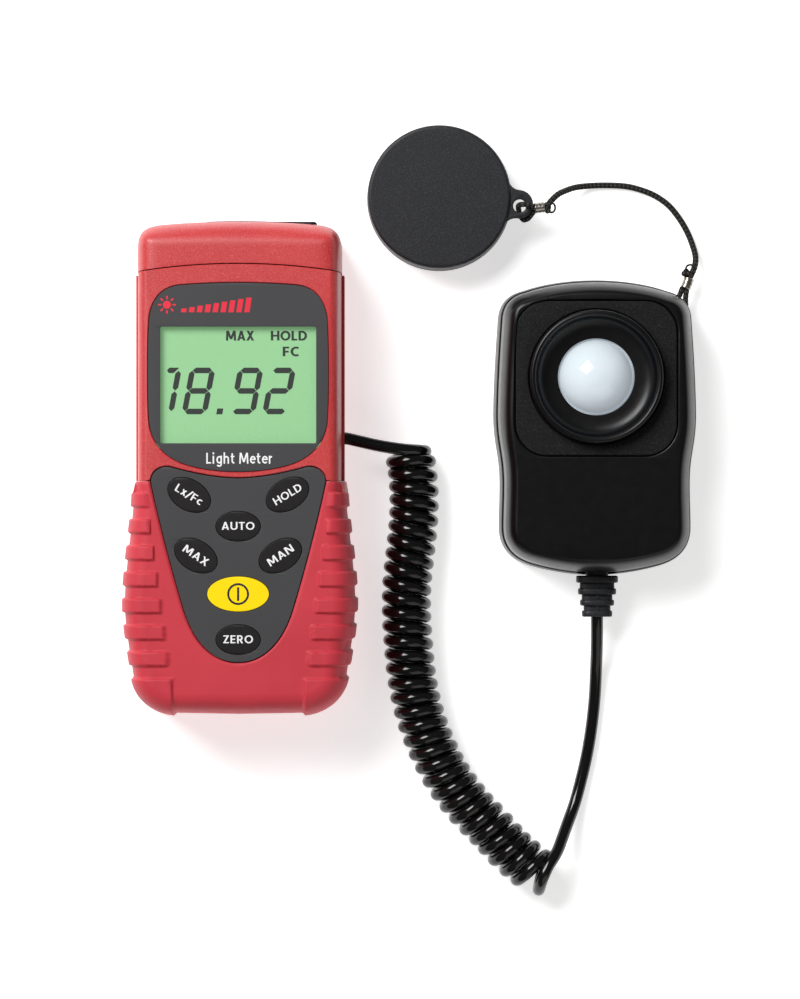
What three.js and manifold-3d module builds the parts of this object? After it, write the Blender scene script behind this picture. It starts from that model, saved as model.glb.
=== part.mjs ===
// Hand-held light meter: a red instrument with a rubber grip, a separate sensor head on a
// curly lead, and a round dome cap tied to the sensor head by a thin braided lanyard.
// Millimetres, +Z up. The origin is the centre of the meter's flat back and +Y runs towards
// the top of its display. The sensor head and the cap lie beside it on the same surface.

import * as THREE from 'three';
import { mergeVertices } from 'three/addons/utils/BufferGeometryUtils.js';
import Module from 'manifold-3d';

const wasm = await Module();
wasm.setup();

// Driving dimensions of the meter.
const CASE_HALF_WIDTH = 28;
const CAP_HALF_WIDTH = 27.3;
const PARTING_Z = 17;
const GAP = 0.3;
const WALL = 2;
const BOOT_WALL = 1.8;
const BOOT_TOP_Y = -3.5;
const END_CAP_SEAM_Y = 54.4;
const END_CAP_SEAM_DROP = 2;
const KEY_TRAVEL = 0.8;

// Driving dimensions of the sensor head, the cap and the cords.
const SENSOR_X = 95.6;
const SENSOR_Y = 11.2;
const DOME_LOCAL_Y = 13.4;
const CAP_X = 53.63;
const CAP_Y = 73.78;
const CAP_RADIUS = 19.6;
const CAP_HEIGHT = 13;
const LEAD_RADIUS = 1.65;
const LANYARD_RADIUS = 0.8;
const COIL_OUTER_RADIUS = 6.8;

// How finely curves are divided.
const SHELL_STEPS = 3;
const PLATE_STEPS = 4;
const ROUND_STEPS = 20;
const KEY_STEPS = 16;

const group = new THREE.Group();

// ---- Materials -------------------------------------------------------------------------

function material(color, roughness, metalness = 0) {
  return new THREE.MeshStandardMaterial({ color, roughness, metalness });
}

const RED_CASE = material(0xc23a3a, 0.42);
const RED_RUBBER = material(0xbf3a44, 0.62);
const BLACK_PLASTIC = material(0x1b1b1c, 0.38);
const PANEL_GREY = material(0x4b4b4d, 0.5);
const KEY_BLACK = material(0x231f20, 0.5);
const KEY_YELLOW = material(0xffdd15, 0.45);
const OPAL = material(0xe9eef2, 0.3);
const CLEAR = material(0xdfe8e4, 0.1);
const LCD_GREEN = material(0x9dd39b, 0.35);
const BOARD_GREEN = material(0x1f5b3a, 0.6);
const STEEL = material(0xb8babd, 0.3, 1);
const BLUE_GLASS = material(0x6f93a8, 0.1);
const BATTERY = material(0x303a52, 0.4, 0.6);
const CORD_BLACK = material(0x161617, 0.35);
const BRAID_BLACK = material(0x202124, 0.8);

// ---- Solids: joins and cuts ------------------------------------------------------------

function triangleVolume(position, a, b, c) {
  const p = new THREE.Vector3().fromBufferAttribute(position, a);
  const q = new THREE.Vector3().fromBufferAttribute(position, b);
  const r = new THREE.Vector3().fromBufferAttribute(position, c);
  return p.dot(q.cross(r)) / 6;
}

// A closed geometry as a solid, with shared corners merged and its faces turned outwards.
function solidOf(geometry) {
  const bare = new THREE.BufferGeometry();
  bare.setAttribute('position', geometry.attributes.position);
  bare.setIndex(geometry.index);
  const merged = mergeVertices(bare, 1e-4);
  const position = merged.attributes.position;
  const index = merged.index.array;
  const triangles = [];
  let volume = 0;
  for (let i = 0; i < index.length; i += 3) {
    const [a, b, c] = [index[i], index[i + 1], index[i + 2]];
    if (a === b || b === c || c === a) continue;
    triangles.push(a, b, c);
    volume += triangleVolume(position, a, b, c);
  }
  if (volume < 0) triangles.reverse();
  return new wasm.Manifold(new wasm.Mesh({
    numProp: 3,
    vertProperties: Float32Array.from(position.array),
    triVerts: Uint32Array.from(triangles),
  }));
}

function geometryOf(solid) {
  const mesh = solid.getMesh();
  const geometry = new THREE.BufferGeometry();
  geometry.setAttribute('position', new THREE.BufferAttribute(mesh.vertProperties, 3));
  geometry.setIndex(new THREE.BufferAttribute(mesh.triVerts, 1));
  geometry.computeVertexNormals();
  return geometry;
}

function join(first, ...others) {
  return geometryOf(others.reduce((solid, other) => solid.add(solidOf(other)), solidOf(first)));
}

function cut(first, ...cutters) {
  return geometryOf(cutters.reduce((solid, tool) => solid.subtract(solidOf(tool)), solidOf(first)));
}

function overlapOf(first, second) {
  return geometryOf(solidOf(first).intersect(solidOf(second)));
}

// ---- Basic shapes ----------------------------------------------------------------------

function box(x0, x1, y0, y1, z0, z1) {
  const geometry = new THREE.BoxGeometry(x1 - x0, y1 - y0, z1 - z0);
  return geometry.translate((x0 + x1) / 2, (y0 + y1) / 2, (z0 + z1) / 2);
}

function post(x, y, z0, z1, radius, steps = ROUND_STEPS) {
  const geometry = new THREE.CylinderGeometry(radius, radius, z1 - z0, steps);
  return geometry.rotateX(Math.PI / 2).translate(x, y, (z0 + z1) / 2);
}

// A round solid about a vertical line, from [radius, z] points.
function turned(profile, x, y, steps = ROUND_STEPS) {
  const points = profile.map(([radius, z]) => new THREE.Vector2(radius, z));
  return new THREE.LatheGeometry(points, steps).rotateX(Math.PI / 2).translate(x, y, 0);
}

// The same, about a line along +X through (x, y, z): points are [radius, distance along X].
function turnedAlongX(profile, x, y, z, steps = ROUND_STEPS) {
  const points = profile.map(([radius, along]) => new THREE.Vector2(radius, along));
  return new THREE.LatheGeometry(points, steps).rotateZ(-Math.PI / 2).translate(x, y, z);
}

function prism(points, z0, z1) {
  const shape = new THREE.Shape(points);
  const geometry = new THREE.ExtrudeGeometry(shape, { depth: z1 - z0, bevelEnabled: false });
  return geometry.translate(0, 0, z0);
}

function tube(points, radius, sides, steps) {
  const curve = new THREE.CatmullRomCurve3(points.map(([x, y, z]) => new THREE.Vector3(x, y, z)));
  const section = new THREE.Shape().absarc(0, 0, radius, 0, 2 * Math.PI, false);
  const options = { extrudePath: curve, steps, curveSegments: sides / 2, bevelEnabled: false };
  return new THREE.ExtrudeGeometry(section, options);
}

// ---- Outlines and shells built from them -----------------------------------------------

// A whole closed outline, counter-clockwise, from its left half drawn from top to bottom.
function mirrored(leftHalf) {
  const right = leftHalf.slice(1, -1).reverse().map((p) => new THREE.Vector2(-p.x, p.y));
  return [...leftHalf, ...right];
}

function insetOutline(outline, distance) {
  const count = outline.length;
  return outline.map((point, i) => {
    const along = outline[(i + 1) % count].clone().sub(outline[(i + count - 1) % count]);
    const inward = new THREE.Vector2(-along.y, along.x).normalize();
    return point.clone().addScaledVector(inward, distance);
  });
}

function ellipse(x, y, halfLength, halfWidth, turnDegrees = 0, steps = ROUND_STEPS) {
  const turn = THREE.MathUtils.degToRad(turnDegrees);
  const curve = new THREE.EllipseCurve(x, y, halfLength, halfWidth, 0, 2 * Math.PI, false, turn);
  return curve.getPoints(steps).slice(0, -1);
}

function roundedRectangle(x0, x1, y0, y1, radius) {
  const path = new THREE.Path();
  path.absarc(x1 - radius, y1 - radius, radius, 0, Math.PI / 2, false);
  path.absarc(x0 + radius, y1 - radius, radius, Math.PI / 2, Math.PI, false);
  path.absarc(x0 + radius, y0 + radius, radius, Math.PI, 1.5 * Math.PI, false);
  path.absarc(x1 - radius, y0 + radius, radius, 1.5 * Math.PI, 2 * Math.PI, false);
  return path.getPoints(2).slice(0, -1);
}

// A closed solid through rings of points that all have the same count, lowest ring first.
function loft(rings) {
  const count = rings[0].points.length;
  const vertices = rings.flatMap(({ points, z }) => points.flatMap((p) => [p.x, p.y, z]));
  const triangles = [];
  for (let ring = 0; ring + 1 < rings.length; ring += 1) {
    for (let i = 0; i < count; i += 1) {
      const a = ring * count + i;
      const b = ring * count + ((i + 1) % count);
      triangles.push(a, b, b + count, a, b + count, a + count);
    }
  }
  const top = (rings.length - 1) * count;
  const lastPoints = rings[rings.length - 1].points;
  for (const [a, b, c] of THREE.ShapeUtils.triangulateShape(lastPoints, [])) {
    triangles.push(top + a, top + b, top + c);
  }
  for (const [a, b, c] of THREE.ShapeUtils.triangulateShape(rings[0].points, [])) {
    triangles.push(a, c, b);
  }
  const geometry = new THREE.BufferGeometry();
  geometry.setAttribute('position', new THREE.Float32BufferAttribute(vertices, 3));
  geometry.setIndex(triangles);
  return geometry;
}

// A solid whose outline is set in by a distance that changes with height: [z, inset] pairs.
function shellBody(outline, profile) {
  return loft(profile.map(([z, inset]) => ({ points: insetOutline(outline, inset), z })));
}

function addPart(name, geometry, look) {
  const mesh = new THREE.Mesh(geometryOf(solidOf(geometry)), look);
  mesh.name = name;
  group.add(mesh);
  return mesh;
}

// ---- Meter outlines --------------------------------------------------------------------

const vec = (x, y) => new THREE.Vector2(x, y);

// The grip swells below the display and narrows again to a rounded bottom.
function drawGrip(path, halfWidth) {
  path.lineTo(-halfWidth, 0);
  path.bezierCurveTo(-CASE_HALF_WIDTH, -12, -30.6, -24, -30.8, -35);
  path.bezierCurveTo(-30.95, -42, -29.3, -49.5, -28.3, -56.6);
  path.bezierCurveTo(-27.3, -61.6, -22.5, -65.2, -17, -65.5);
  path.lineTo(0, -65.8);
  return mirrored(path.getPoints(SHELL_STEPS));
}

// The meter seen from the front: shallow arched top, straight sides, then the grip.
function meterOutline(halfWidth) {
  const path = new THREE.Path();
  path.moveTo(0, 66.3);
  path.bezierCurveTo(-8, 66.2, -15, 65.9, -20.5, 65.2);
  path.bezierCurveTo(-25, 64.4, 0.2 - halfWidth, 62.5, -halfWidth, 58.5);
  return drawGrip(path, halfWidth);
}

// Only the grip, squared off above the boot, for the core that the boot covers.
function gripOutline() {
  const path = new THREE.Path();
  path.moveTo(0, 20);
  path.lineTo(-CASE_HALF_WIDTH, 20);
  return drawGrip(path, CASE_HALF_WIDTH);
}

const bandOutline = meterOutline(CASE_HALF_WIDTH);
const capOutline = meterOutline(CAP_HALF_WIDTH);
const lowerOutline = gripOutline();

function bezelOutline() {
  const path = new THREE.Path();
  path.moveTo(0, 49.2);
  path.bezierCurveTo(-5.1, 49.2, -10.2, 49, -15.2, 48.6);
  path.bezierCurveTo(-20.3, 48.2, -23, 44.8, -23.6, 39.7);
  path.bezierCurveTo(-24.1, 31.6, -24.1, 19.4, -23.6, 12.3);
  path.bezierCurveTo(-23, 6.2, -18.8, 2.4, -13.2, 0.8);
  path.bezierCurveTo(-9.1, -0.4, -4.6, -0.9, 0, -0.9);
  return mirrored(path.getPoints(PLATE_STEPS));
}

// The keypad plate is a shield: concave top edge, rounded shoulders, sides closing downwards.
function shieldOutline() {
  const path = new THREE.Path();
  path.moveTo(0, -2.4);
  path.bezierCurveTo(-6.1, -2.4, -12.7, -0.9, -17.8, 0.5);
  path.bezierCurveTo(-20.8, 1.2, -23.7, -0.8, -23.4, -3.9);
  path.bezierCurveTo(-21.5, -13.1, -17.3, -29.3, -14.4, -38.5);
  path.bezierCurveTo(-11.7, -46.6, -6.6, -51.8, 0, -51.8);
  return mirrored(path.getPoints(PLATE_STEPS));
}

const shield = shieldOutline();

// Height profiles, [z, inset from the outline].
const REAR_PROFILE = [[0, 3.5], [1.5, 1], [5, 0], [PARTING_Z, 0]];
const FRONT_PROFILE = [[PARTING_Z + GAP, 0.7], [30, 1.6], [34.6, 2.5], [36.5, 4]];
const END_CAP_PROFILE = [[0, 3], [1.5, 0.9], [5, 0], [26, 0.2], [32, 1.2], [35.2, 2.5], [36.5, 4.2]];
const BOOT_PROFILE = [[0, 3.5], [1.5, 1], [5, 0], [28, 0.3], [33, 1.4], [35.8, 3], [36.6, 5]];
const RIB_PROFILE = [[2, 1], [5, -0.7], [28, -0.5], [33, 0.4], [36.4, 2.2], [37.4, 4.6]];
const BUMPER_PROFILE = [[1, 1.2], [5, -0.6], [28, -0.4], [33, 0.5], [36.2, 2.4], [37.2, 4.8]];

// The full width of the object between two heights along Y.
const slab = (y0, y1) => box(-60, 60, y0, y1, -1, 60);

// Everything above the seam of the top end cap, which dips towards the sides.
function endCapRegion(offset) {
  const points = [vec(-40, 90)];
  for (let x = -40; x <= 40; x += 5) {
    const dip = END_CAP_SEAM_DROP * (x / 26) ** 2;
    points.push(vec(x, END_CAP_SEAM_Y - dip + offset));
  }
  points.push(vec(40, 90));
  return prism(points, -1, 60);
}

// ---- Meter: rear case and front case ---------------------------------------------------

const BAND_TOP_Y = 51.9;
const CORE_INSET = BOOT_WALL + GAP;
const coreOutline = insetOutline(lowerOutline, CORE_INSET);
const SCREW_PLACES = [[-21.5, 47], [21.5, 47], [-21.5, -50], [21.5, -50]];
const SCREW_HEAD_RADIUS = 2.7;
const SCREW_SHAFT_RADIUS = 1.4;
const SCREW_BASE_Z = [0.6, 0.6, 2.4, 2.4];
const BATTERY_X = 13.25;
const DOOR = { x: 14.7, y0: -58.7, y1: -6.3 };
const GLAND = { y: 8.25, z: 12, radius: 3.2 };
const JACK = { y: 36.6, z: 12, radius: 3.6 };
const WINDOW = { x: 20.7, y0: 6.65, y1: 37.6 };

const doorOpening = box(-DOOR.x - GAP, DOOR.x + GAP, DOOR.y0 - GAP, DOOR.y1 + GAP, -1, 3.8);

// A half of the case: full width above the boot, and a narrower core that the boot covers.
function caseOuter(profile, coreProfile, bandTop) {
  const band = overlapOf(shellBody(bandOutline, profile), slab(BOOT_TOP_Y + GAP / 2, bandTop));
  const core = overlapOf(shellBody(coreOutline, coreProfile), slab(-70, BOOT_TOP_Y + 1));
  return join(band, core);
}

function rearCase() {
  const coreProfile = [[1.7, 1.5], [3.1, 0], [PARTING_Z, 0]];
  const neck = overlapOf(shellBody(capOutline, REAR_PROFILE), slab(BAND_TOP_Y - 1, 60));
  const wide = join(caseOuter(REAR_PROFILE, coreProfile, BAND_TOP_Y), neck);
  const outer = cut(wide, endCapRegion(-GAP / 2));
  const upperHollow = shellBody(bandOutline, [[WALL, 3.4], [3.4, 2.7], [20, 2.7]]);
  const coreHollow = shellBody(coreOutline, [[3.7, 2.2], [5, 1.6], [20, 1.6]]);
  const hollow = cut(
    outer,
    overlapOf(upperHollow, slab(2.2, 80)),
    overlapOf(coreHollow, slab(-70, 2.5)),
  );
  const inside = [];
  const bores = [];
  SCREW_PLACES.forEach(([x, y], i) => {
    const base = SCREW_BASE_Z[i];
    inside.push(post(x, y, WALL + (i < 2 ? -0.5 : 1), PARTING_Z, 4, 16));
    bores.push(post(x, y, -1, base + 2.7, SCREW_HEAD_RADIUS + GAP, 16));
    bores.push(post(x, y, 0, 20, SCREW_SHAFT_RADIUS + GAP, 12));
  });
  for (const side of [-1, 1]) {
    const x = side * (BATTERY_X + 2);
    inside.push(box(x - 0.6, x + 0.6, -59.5, -2, 3, 15));
  }
  const wallHoles = [GLAND, JACK].map(({ y, z, radius }) => {
    const profile = [[0, 22], [radius + GAP, 22], [radius + GAP, 32], [0, 32]];
    return turnedAlongX(profile, 0, y, z);
  });
  return cut(join(hollow, ...inside), ...bores, ...wallHoles, doorOpening);
}

function frontCase() {
  const coreProfile = [[PARTING_Z + GAP, 0], [28, 0.3], [32, 1.2], [33.6, 2.6], [34.6, 4]];
  const outer = cut(caseOuter(FRONT_PROFILE, coreProfile, 60), endCapRegion(-GAP / 2));
  const upperHollow = shellBody(bandOutline, [[14, 2.7], [28, 3], [32, 3.6], [34.4, 5]]);
  const coreHollow = shellBody(coreOutline, [[14, 1.6], [28, 1.9], [31, 2.9], [32.6, 4.4]]);
  const hollow = cut(
    outer,
    overlapOf(upperHollow, slab(2.2, 80)),
    overlapOf(coreHollow, slab(-70, 2.5)),
  );
  const posts = SCREW_PLACES.map(([x, y]) => post(x, y, PARTING_Z + GAP, 33.5, 3.6, 16));
  const bores = SCREW_PLACES.map(([x, y]) => post(x, y, 10, 25, SCREW_SHAFT_RADIUS + GAP, 12));
  const keyHoles = KEYS.map((key) => {
    const reach = KEY_FLANGE + 0.4;
    return prism(ellipse(key.x, key.y, key.a + reach, key.b + reach, key.turn, KEY_STEPS), 30, 36);
  });
  return cut(
    join(hollow, ...posts),
    ...bores,
    ...keyHoles,
    prism(insetOutline(bezelOutline(), -GAP), 35.4, 40),
    prism(insetOutline(shield, -GAP), 34.6, 40),
    box(-WINDOW.x - 1.3, WINDOW.x + 1.3, WINDOW.y0 - 1.4, WINDOW.y1 + 1.2, 30, 40),
  );
}

// ---- Meter: end cap, blanking plate, boot ----------------------------------------------

const PLATE = { x0: -9, x1: 20.6, z0: 8, z1: 26 };

function topEndCap() {
  const outer = overlapOf(shellBody(capOutline, END_CAP_PROFILE), endCapRegion(GAP / 2));
  const tongueProfile = [[2.4, 3.4], [4, 2.4], [28, 2.7], [32, 3.4], [34, 4.8]];
  const tongue = overlapOf(shellBody(capOutline, tongueProfile), slab(51.6, 58));
  const hollow = shellBody(capOutline, [[3.6, 4.4], [5, 3.6], [28, 3.9], [31, 4.3], [32.8, 5]]);
  const aperture = box(PLATE.x0 - GAP, PLATE.x1 + GAP, 50, 70, PLATE.z0 - GAP, PLATE.z1 + GAP);
  return cut(join(outer, tongue), hollow, aperture);
}

function endPlate() {
  const face = box(PLATE.x0, PLATE.x1, 60, 66, PLATE.z0, PLATE.z1);
  const flange = box(PLATE.x0 - 1.2, PLATE.x1 + 1.2, 58.8, 60.2, PLATE.z0 - 1.2, PLATE.z1 + 1.2);
  return join(face, flange);
}

const RIB_COUNT = 7;
const RIB_PITCH = 7.04;
const RIB_HEIGHT = 3.6;

function bootRibs() {
  const boxes = [];
  for (let k = 0; k < RIB_COUNT; k += 1) {
    const y = -8.4 - RIB_PITCH * k;
    const inner = 24 - 0.93 * k;
    boxes.push(box(-40, -inner, y - RIB_HEIGHT / 2, y + RIB_HEIGHT / 2, 0, 60));
    boxes.push(box(inner, 40, y - RIB_HEIGHT / 2, y + RIB_HEIGHT / 2, 0, 60));
  }
  const [first, ...rest] = boxes;
  return overlapOf(shellBody(lowerOutline, RIB_PROFILE), join(first, ...rest));
}

function bootBumpers() {
  const corners = join(box(-40, -17.45, -80, -56, 0, 60), box(17.45, 40, -80, -56, 0, 60));
  return overlapOf(shellBody(lowerOutline, BUMPER_PROFILE), corners);
}

function gripBoot() {
  const outer = overlapOf(shellBody(lowerOutline, BOOT_PROFILE), slab(-80, BOOT_TOP_Y - GAP / 2));
  const insideOutline = insetOutline(lowerOutline, BOOT_WALL);
  const insideProfile = [[1.4, 1.5], [2.8, 0], [28, 0.3], [32, 1.1], [33.8, 2.3], [34.9, 3.7]];
  return cut(
    join(outer, bootRibs(), bootBumpers()),
    shellBody(insideOutline, insideProfile),
    prism(insetOutline(shield, -GAP), 30, 50),
    doorOpening,
  );
}

function batteryDoor() {
  const cover = box(-DOOR.x, DOOR.x, DOOR.y0, DOOR.y1, 0.5, 2.9);
  const ribs = [-11, -14, -17].map((y) => box(-5, 5, y - 0.5, y + 0.5, 0.1, 0.6));
  return join(cover, ...ribs);
}

// ---- Meter: display, keypad plate and keys ---------------------------------------------

function displayBezel() {
  const plate = prism(bezelOutline(), 35.7, 36.5);
  return cut(plate, box(-WINDOW.x, WINDOW.x, WINDOW.y0, WINDOW.y1, 30, 40));
}

const LCD = { x: 21.9, y0: 5.3, y1: 38.9 };

function lcdFrame() {
  const block = box(-LCD.x - 1.3, LCD.x + 1.3, LCD.y0 - 1.3, LCD.y1 + 1.3, 29.6, 33.2);
  const pocket = box(-LCD.x - GAP, LCD.x + GAP, LCD.y0 - GAP, LCD.y1 + GAP, 31.1, 40);
  const opening = box(-19, 19, LCD.y0 + 5, LCD.y1 - 5, 20, 40);
  const slots = [LCD.y0 + 2.2, LCD.y1 - 2.2].map((y) => box(-20.4, 20.4, y - 1.4, y + 1.4, 20, 40));
  return cut(block, pocket, opening, ...slots);
}

// Each key: place, half length, half width, turn in degrees, and its look.
const KEYS = [
  { name: 'key_units', x: -13, y: -7.1, a: 6.1, b: 4.05, turn: -30, look: KEY_BLACK },
  { name: 'key_hold', x: 13.1, y: -7, a: 6.1, b: 4.05, turn: 30, look: KEY_BLACK },
  { name: 'key_auto', x: 0, y: -15.4, a: 5.9, b: 3.95, turn: 0, look: KEY_BLACK },
  { name: 'key_max', x: -11.2, y: -23.2, a: 6.1, b: 4.05, turn: -30, look: KEY_BLACK },
  { name: 'key_man', x: 11.2, y: -23.2, a: 6.1, b: 4.05, turn: 30, look: KEY_BLACK },
  { name: 'key_power', x: 0, y: -33.4, a: 8.2, b: 4.65, turn: 0, look: KEY_YELLOW },
  { name: 'key_zero', x: 0, y: -45.5, a: 5.9, b: 3.95, turn: 0, look: KEY_BLACK },
];
const KEY_FLANGE = 0.7;
const KEY_BOTTOM_Z = 31.6;
const SWITCH_TOP_Z = KEY_BOTTOM_Z - KEY_TRAVEL - 0.2;

function keypadFaceplate() {
  const holes = KEYS.map(({ x, y, a, b, turn }) => (
    prism(ellipse(x, y, a + GAP, b + GAP, turn, KEY_STEPS), 30, 40)
  ));
  return cut(prism(shield, 34.9, 36.5), ...holes);
}

// A flanged cap with a plunger: the flange stops under the faceplate.
function keyBody({ x, y, a, b, turn }) {
  const ring = (grow, z) => ({ points: ellipse(x, y, a + grow, b + grow, turn, KEY_STEPS), z });
  const cap = loft([
    ring(KEY_FLANGE, 33.5), ring(KEY_FLANGE, 34.6), ring(0, 34.6), ring(0, 36.7), ring(-0.4, 37.2),
  ]);
  return join(cap, post(x, y, KEY_BOTTOM_Z, 34, 1.7, 12));
}

function tactSwitch({ x, y }) {
  return join(box(x - 3, x + 3, y - 3, y + 3, 27.3, 30.2), post(x, y, 30, SWITCH_TOP_Z, 1.7, 12));
}

// ---- Meter: board, battery, fasteners, sockets -----------------------------------------

function mainBoard() {
  const notches = SCREW_PLACES.map(([x, y]) => post(x, y, 20, 30, 3.9, 16));
  return cut(box(-21.5, 21.5, -52, 50, 25.4, 27), ...notches);
}

function battery9v() {
  const section = roundedRectangle(-BATTERY_X, BATTERY_X, 4.5, 22, 2.5);
  const body = prism(section, 8.5, 57).rotateX(Math.PI / 2);
  const terminals = [-6.3, 6.3].map((x) => (
    new THREE.CylinderGeometry(2.8, 2.8, 3, 12).translate(x, -7.3, 13.2)
  ));
  return join(body, ...terminals);
}

function batterySnap() {
  const holes = [-6.3, 6.3].map((x) => (
    new THREE.CylinderGeometry(3.2, 3.2, 3.2, 12).translate(x, -7, 13.2)
  ));
  return cut(box(-12.5, 12.5, -8.2, -3.6, 8, 18.5), ...holes);
}

function caseScrew(x, y, base) {
  const profile = [
    [0, base], [SCREW_HEAD_RADIUS, base], [SCREW_HEAD_RADIUS, base + 2.4],
    [SCREW_SHAFT_RADIUS, base + 2.4], [SCREW_SHAFT_RADIUS, 23.4], [0, 24.4],
  ];
  const slots = [box(x - 1.8, x + 1.8, y - 0.4, y + 0.4, -1, base + 1)];
  slots.push(box(x - 0.4, x + 0.4, y - 1.8, y + 1.8, -1, base + 1));
  return cut(turned(profile, x, y, 16), ...slots);
}

// Sleeve in the right wall that the lead comes out of, with a flange inside the wall.
function cableGland() {
  const bore = LEAD_RADIUS + GAP;
  return turnedAlongX(
    [[bore, 23], [4.6, 23], [4.6, 24.9], [GLAND.radius, 24.9], [GLAND.radius, 28], [bore, 28], [bore, 23]],
    0, GLAND.y, GLAND.z,
  );
}

function outputJack() {
  const barrel = turnedAlongX(
    [[0, 14], [3, 14], [3, 27], [1.3, 27], [1.3, 16], [0, 16]], 0, JACK.y, JACK.z, 16,
  );
  return barrel;
}

function jackCollar() {
  return turnedAlongX(
    [[3.3, 24], [4.8, 24], [4.8, 24.9], [JACK.radius, 24.9], [JACK.radius, 27.6], [3.3, 27.6], [3.3, 24]],
    0, JACK.y, JACK.z,
  );
}

addPart('rear_case', rearCase(), RED_CASE);
addPart('front_case', frontCase(), RED_CASE);
addPart('top_end_cap', topEndCap(), RED_CASE);
addPart('end_plate', endPlate(), BLACK_PLASTIC);
addPart('grip_boot', gripBoot(), RED_RUBBER);
addPart('battery_door', batteryDoor(), RED_CASE);
addPart('display_bezel', displayBezel(), PANEL_GREY);
addPart('display_window', box(-21.7, 21.7, 5.6, 38.5, 34.6, 35.4), CLEAR);
addPart('lcd_panel', box(-LCD.x, LCD.x, LCD.y0, LCD.y1, 31.4, 33.4), LCD_GREEN);
addPart('lcd_frame', lcdFrame(), BLACK_PLASTIC);
addPart('zebra_strip_lower', box(-20, 20, LCD.y0 + 1.2, LCD.y0 + 3.2, 27.3, 31.1), PANEL_GREY);
addPart('zebra_strip_upper', box(-20, 20, LCD.y1 - 3.2, LCD.y1 - 1.2, 27.3, 31.1), PANEL_GREY);
addPart('keypad_faceplate', keypadFaceplate(), PANEL_GREY);
for (const key of KEYS) {
  addPart(key.name, keyBody(key), key.look);
  addPart(key.name.replace('key_', 'switch_'), tactSwitch(key), STEEL);
}
addPart('main_board', mainBoard(), BOARD_GREEN);
addPart('battery_9v', battery9v(), BATTERY);
addPart('battery_snap', batterySnap(), BLACK_PLASTIC);
SCREW_PLACES.forEach(([x, y], i) => {
  addPart(`case_screw_${i + 1}`, caseScrew(x, y, SCREW_BASE_Z[i]), STEEL);
});
addPart('cable_gland', cableGland(), BLACK_PLASTIC);
addPart('output_jack', outputJack(), BLACK_PLASTIC);
addPart('jack_collar', jackCollar(), STEEL);

// ---- Sensor head -----------------------------------------------------------------------

function sensorOutline() {
  const path = new THREE.Path();
  path.moveTo(0, 40);
  path.bezierCurveTo(-7, 40, -14, 39, -19.3, 37.1);
  path.bezierCurveTo(-23.3, 36.2, -25.6, 33.8, -26.1, 30);
  path.bezierCurveTo(-26.7, 22, -27.3, 12, -27.4, 4);
  path.bezierCurveTo(-27.5, -4, -25.8, -7, -25.7, -14);
  path.bezierCurveTo(-25.6, -18, -25.9, -23, -25.9, -27);
  path.bezierCurveTo(-25.9, -33, -22.3, -36.2, -17, -37.6);
  path.bezierCurveTo(-11.5, -39.1, -5.5, -40, 0, -40);
  const place = vec(SENSOR_X, SENSOR_Y);
  return mirrored(path.getPoints(SHELL_STEPS)).map((point) => point.clone().add(place));
}

const headOutline = sensorOutline();
const DOME_X = SENSOR_X;
const DOME_Y = SENSOR_Y + DOME_LOCAL_Y;
const DOME_RADIUS = 10;
const HEAD_PARTING_Z = 9;
const HEAD_SCREWS = [[SENSOR_X - 17, SENSOR_Y - 24], [SENSOR_X + 17, SENSOR_Y - 24]];
const RELIEF = { x: SENSOR_X + 0.67, z: 8.5, y0: -40, y1: SENSOR_Y - 40 };
const LANYARD_PILLAR = { x: 118.94, y: 43.6, z: 4.8, radius: 1.4 };
const PANEL = { x: 21.6, y0: SENSOR_Y - 7.7, y1: SENSOR_Y + 34, corner: 8 };
const RING_RADIUS = 17.9;

// A bore along Y through the bottom wall of the head, for the neck of the strain relief.
function reliefBore(radius, y0, y1) {
  const geometry = new THREE.CylinderGeometry(radius, radius, y1 - y0, 16);
  return geometry.translate(RELIEF.x, (y0 + y1) / 2, RELIEF.z);
}

// Pocket in the top right corner that the lanyard's loop runs into, round a pillar.
function lanyardPocket() {
  const { x, y, z } = LANYARD_PILLAR;
  const mouth = new THREE.BoxGeometry(6.4, 12, 5.2);
  mouth.translate(0, 6, 0).rotateZ(-0.3).translate(x, y, z);
  const pocket = join(post(x, y, z - 2.6, z + 2.6, 3.2, 16), mouth);
  return cut(pocket, post(x, y, 0, 12, LANYARD_PILLAR.radius, 12));
}

function sensorRearShell() {
  const outer = shellBody(headOutline, [[0, 3], [1.3, 0.9], [4, 0.1], [HEAD_PARTING_Z, 0]]);
  const hollow = shellBody(headOutline, [[2, 3.6], [3.5, 2.2], [12, 2.2]]);
  const block = overlapOf(post(LANYARD_PILLAR.x, LANYARD_PILLAR.y, 0, HEAD_PARTING_Z, 5, 16), outer);
  const bosses = HEAD_SCREWS.map(([x, y]) => post(x, y, 1.5, HEAD_PARTING_Z, 3.6, 16));
  const bores = HEAD_SCREWS.flatMap(([x, y]) => [post(x, y, -1, 3.1, 2.7, 12), post(x, y, 0, 12, 1.5, 12)]);
  return cut(
    join(cut(outer, hollow), block, ...bosses),
    ...bores,
    lanyardPocket(),
    reliefBore(3, RELIEF.y1 - 2, RELIEF.y1 + 6),
  );
}

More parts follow.
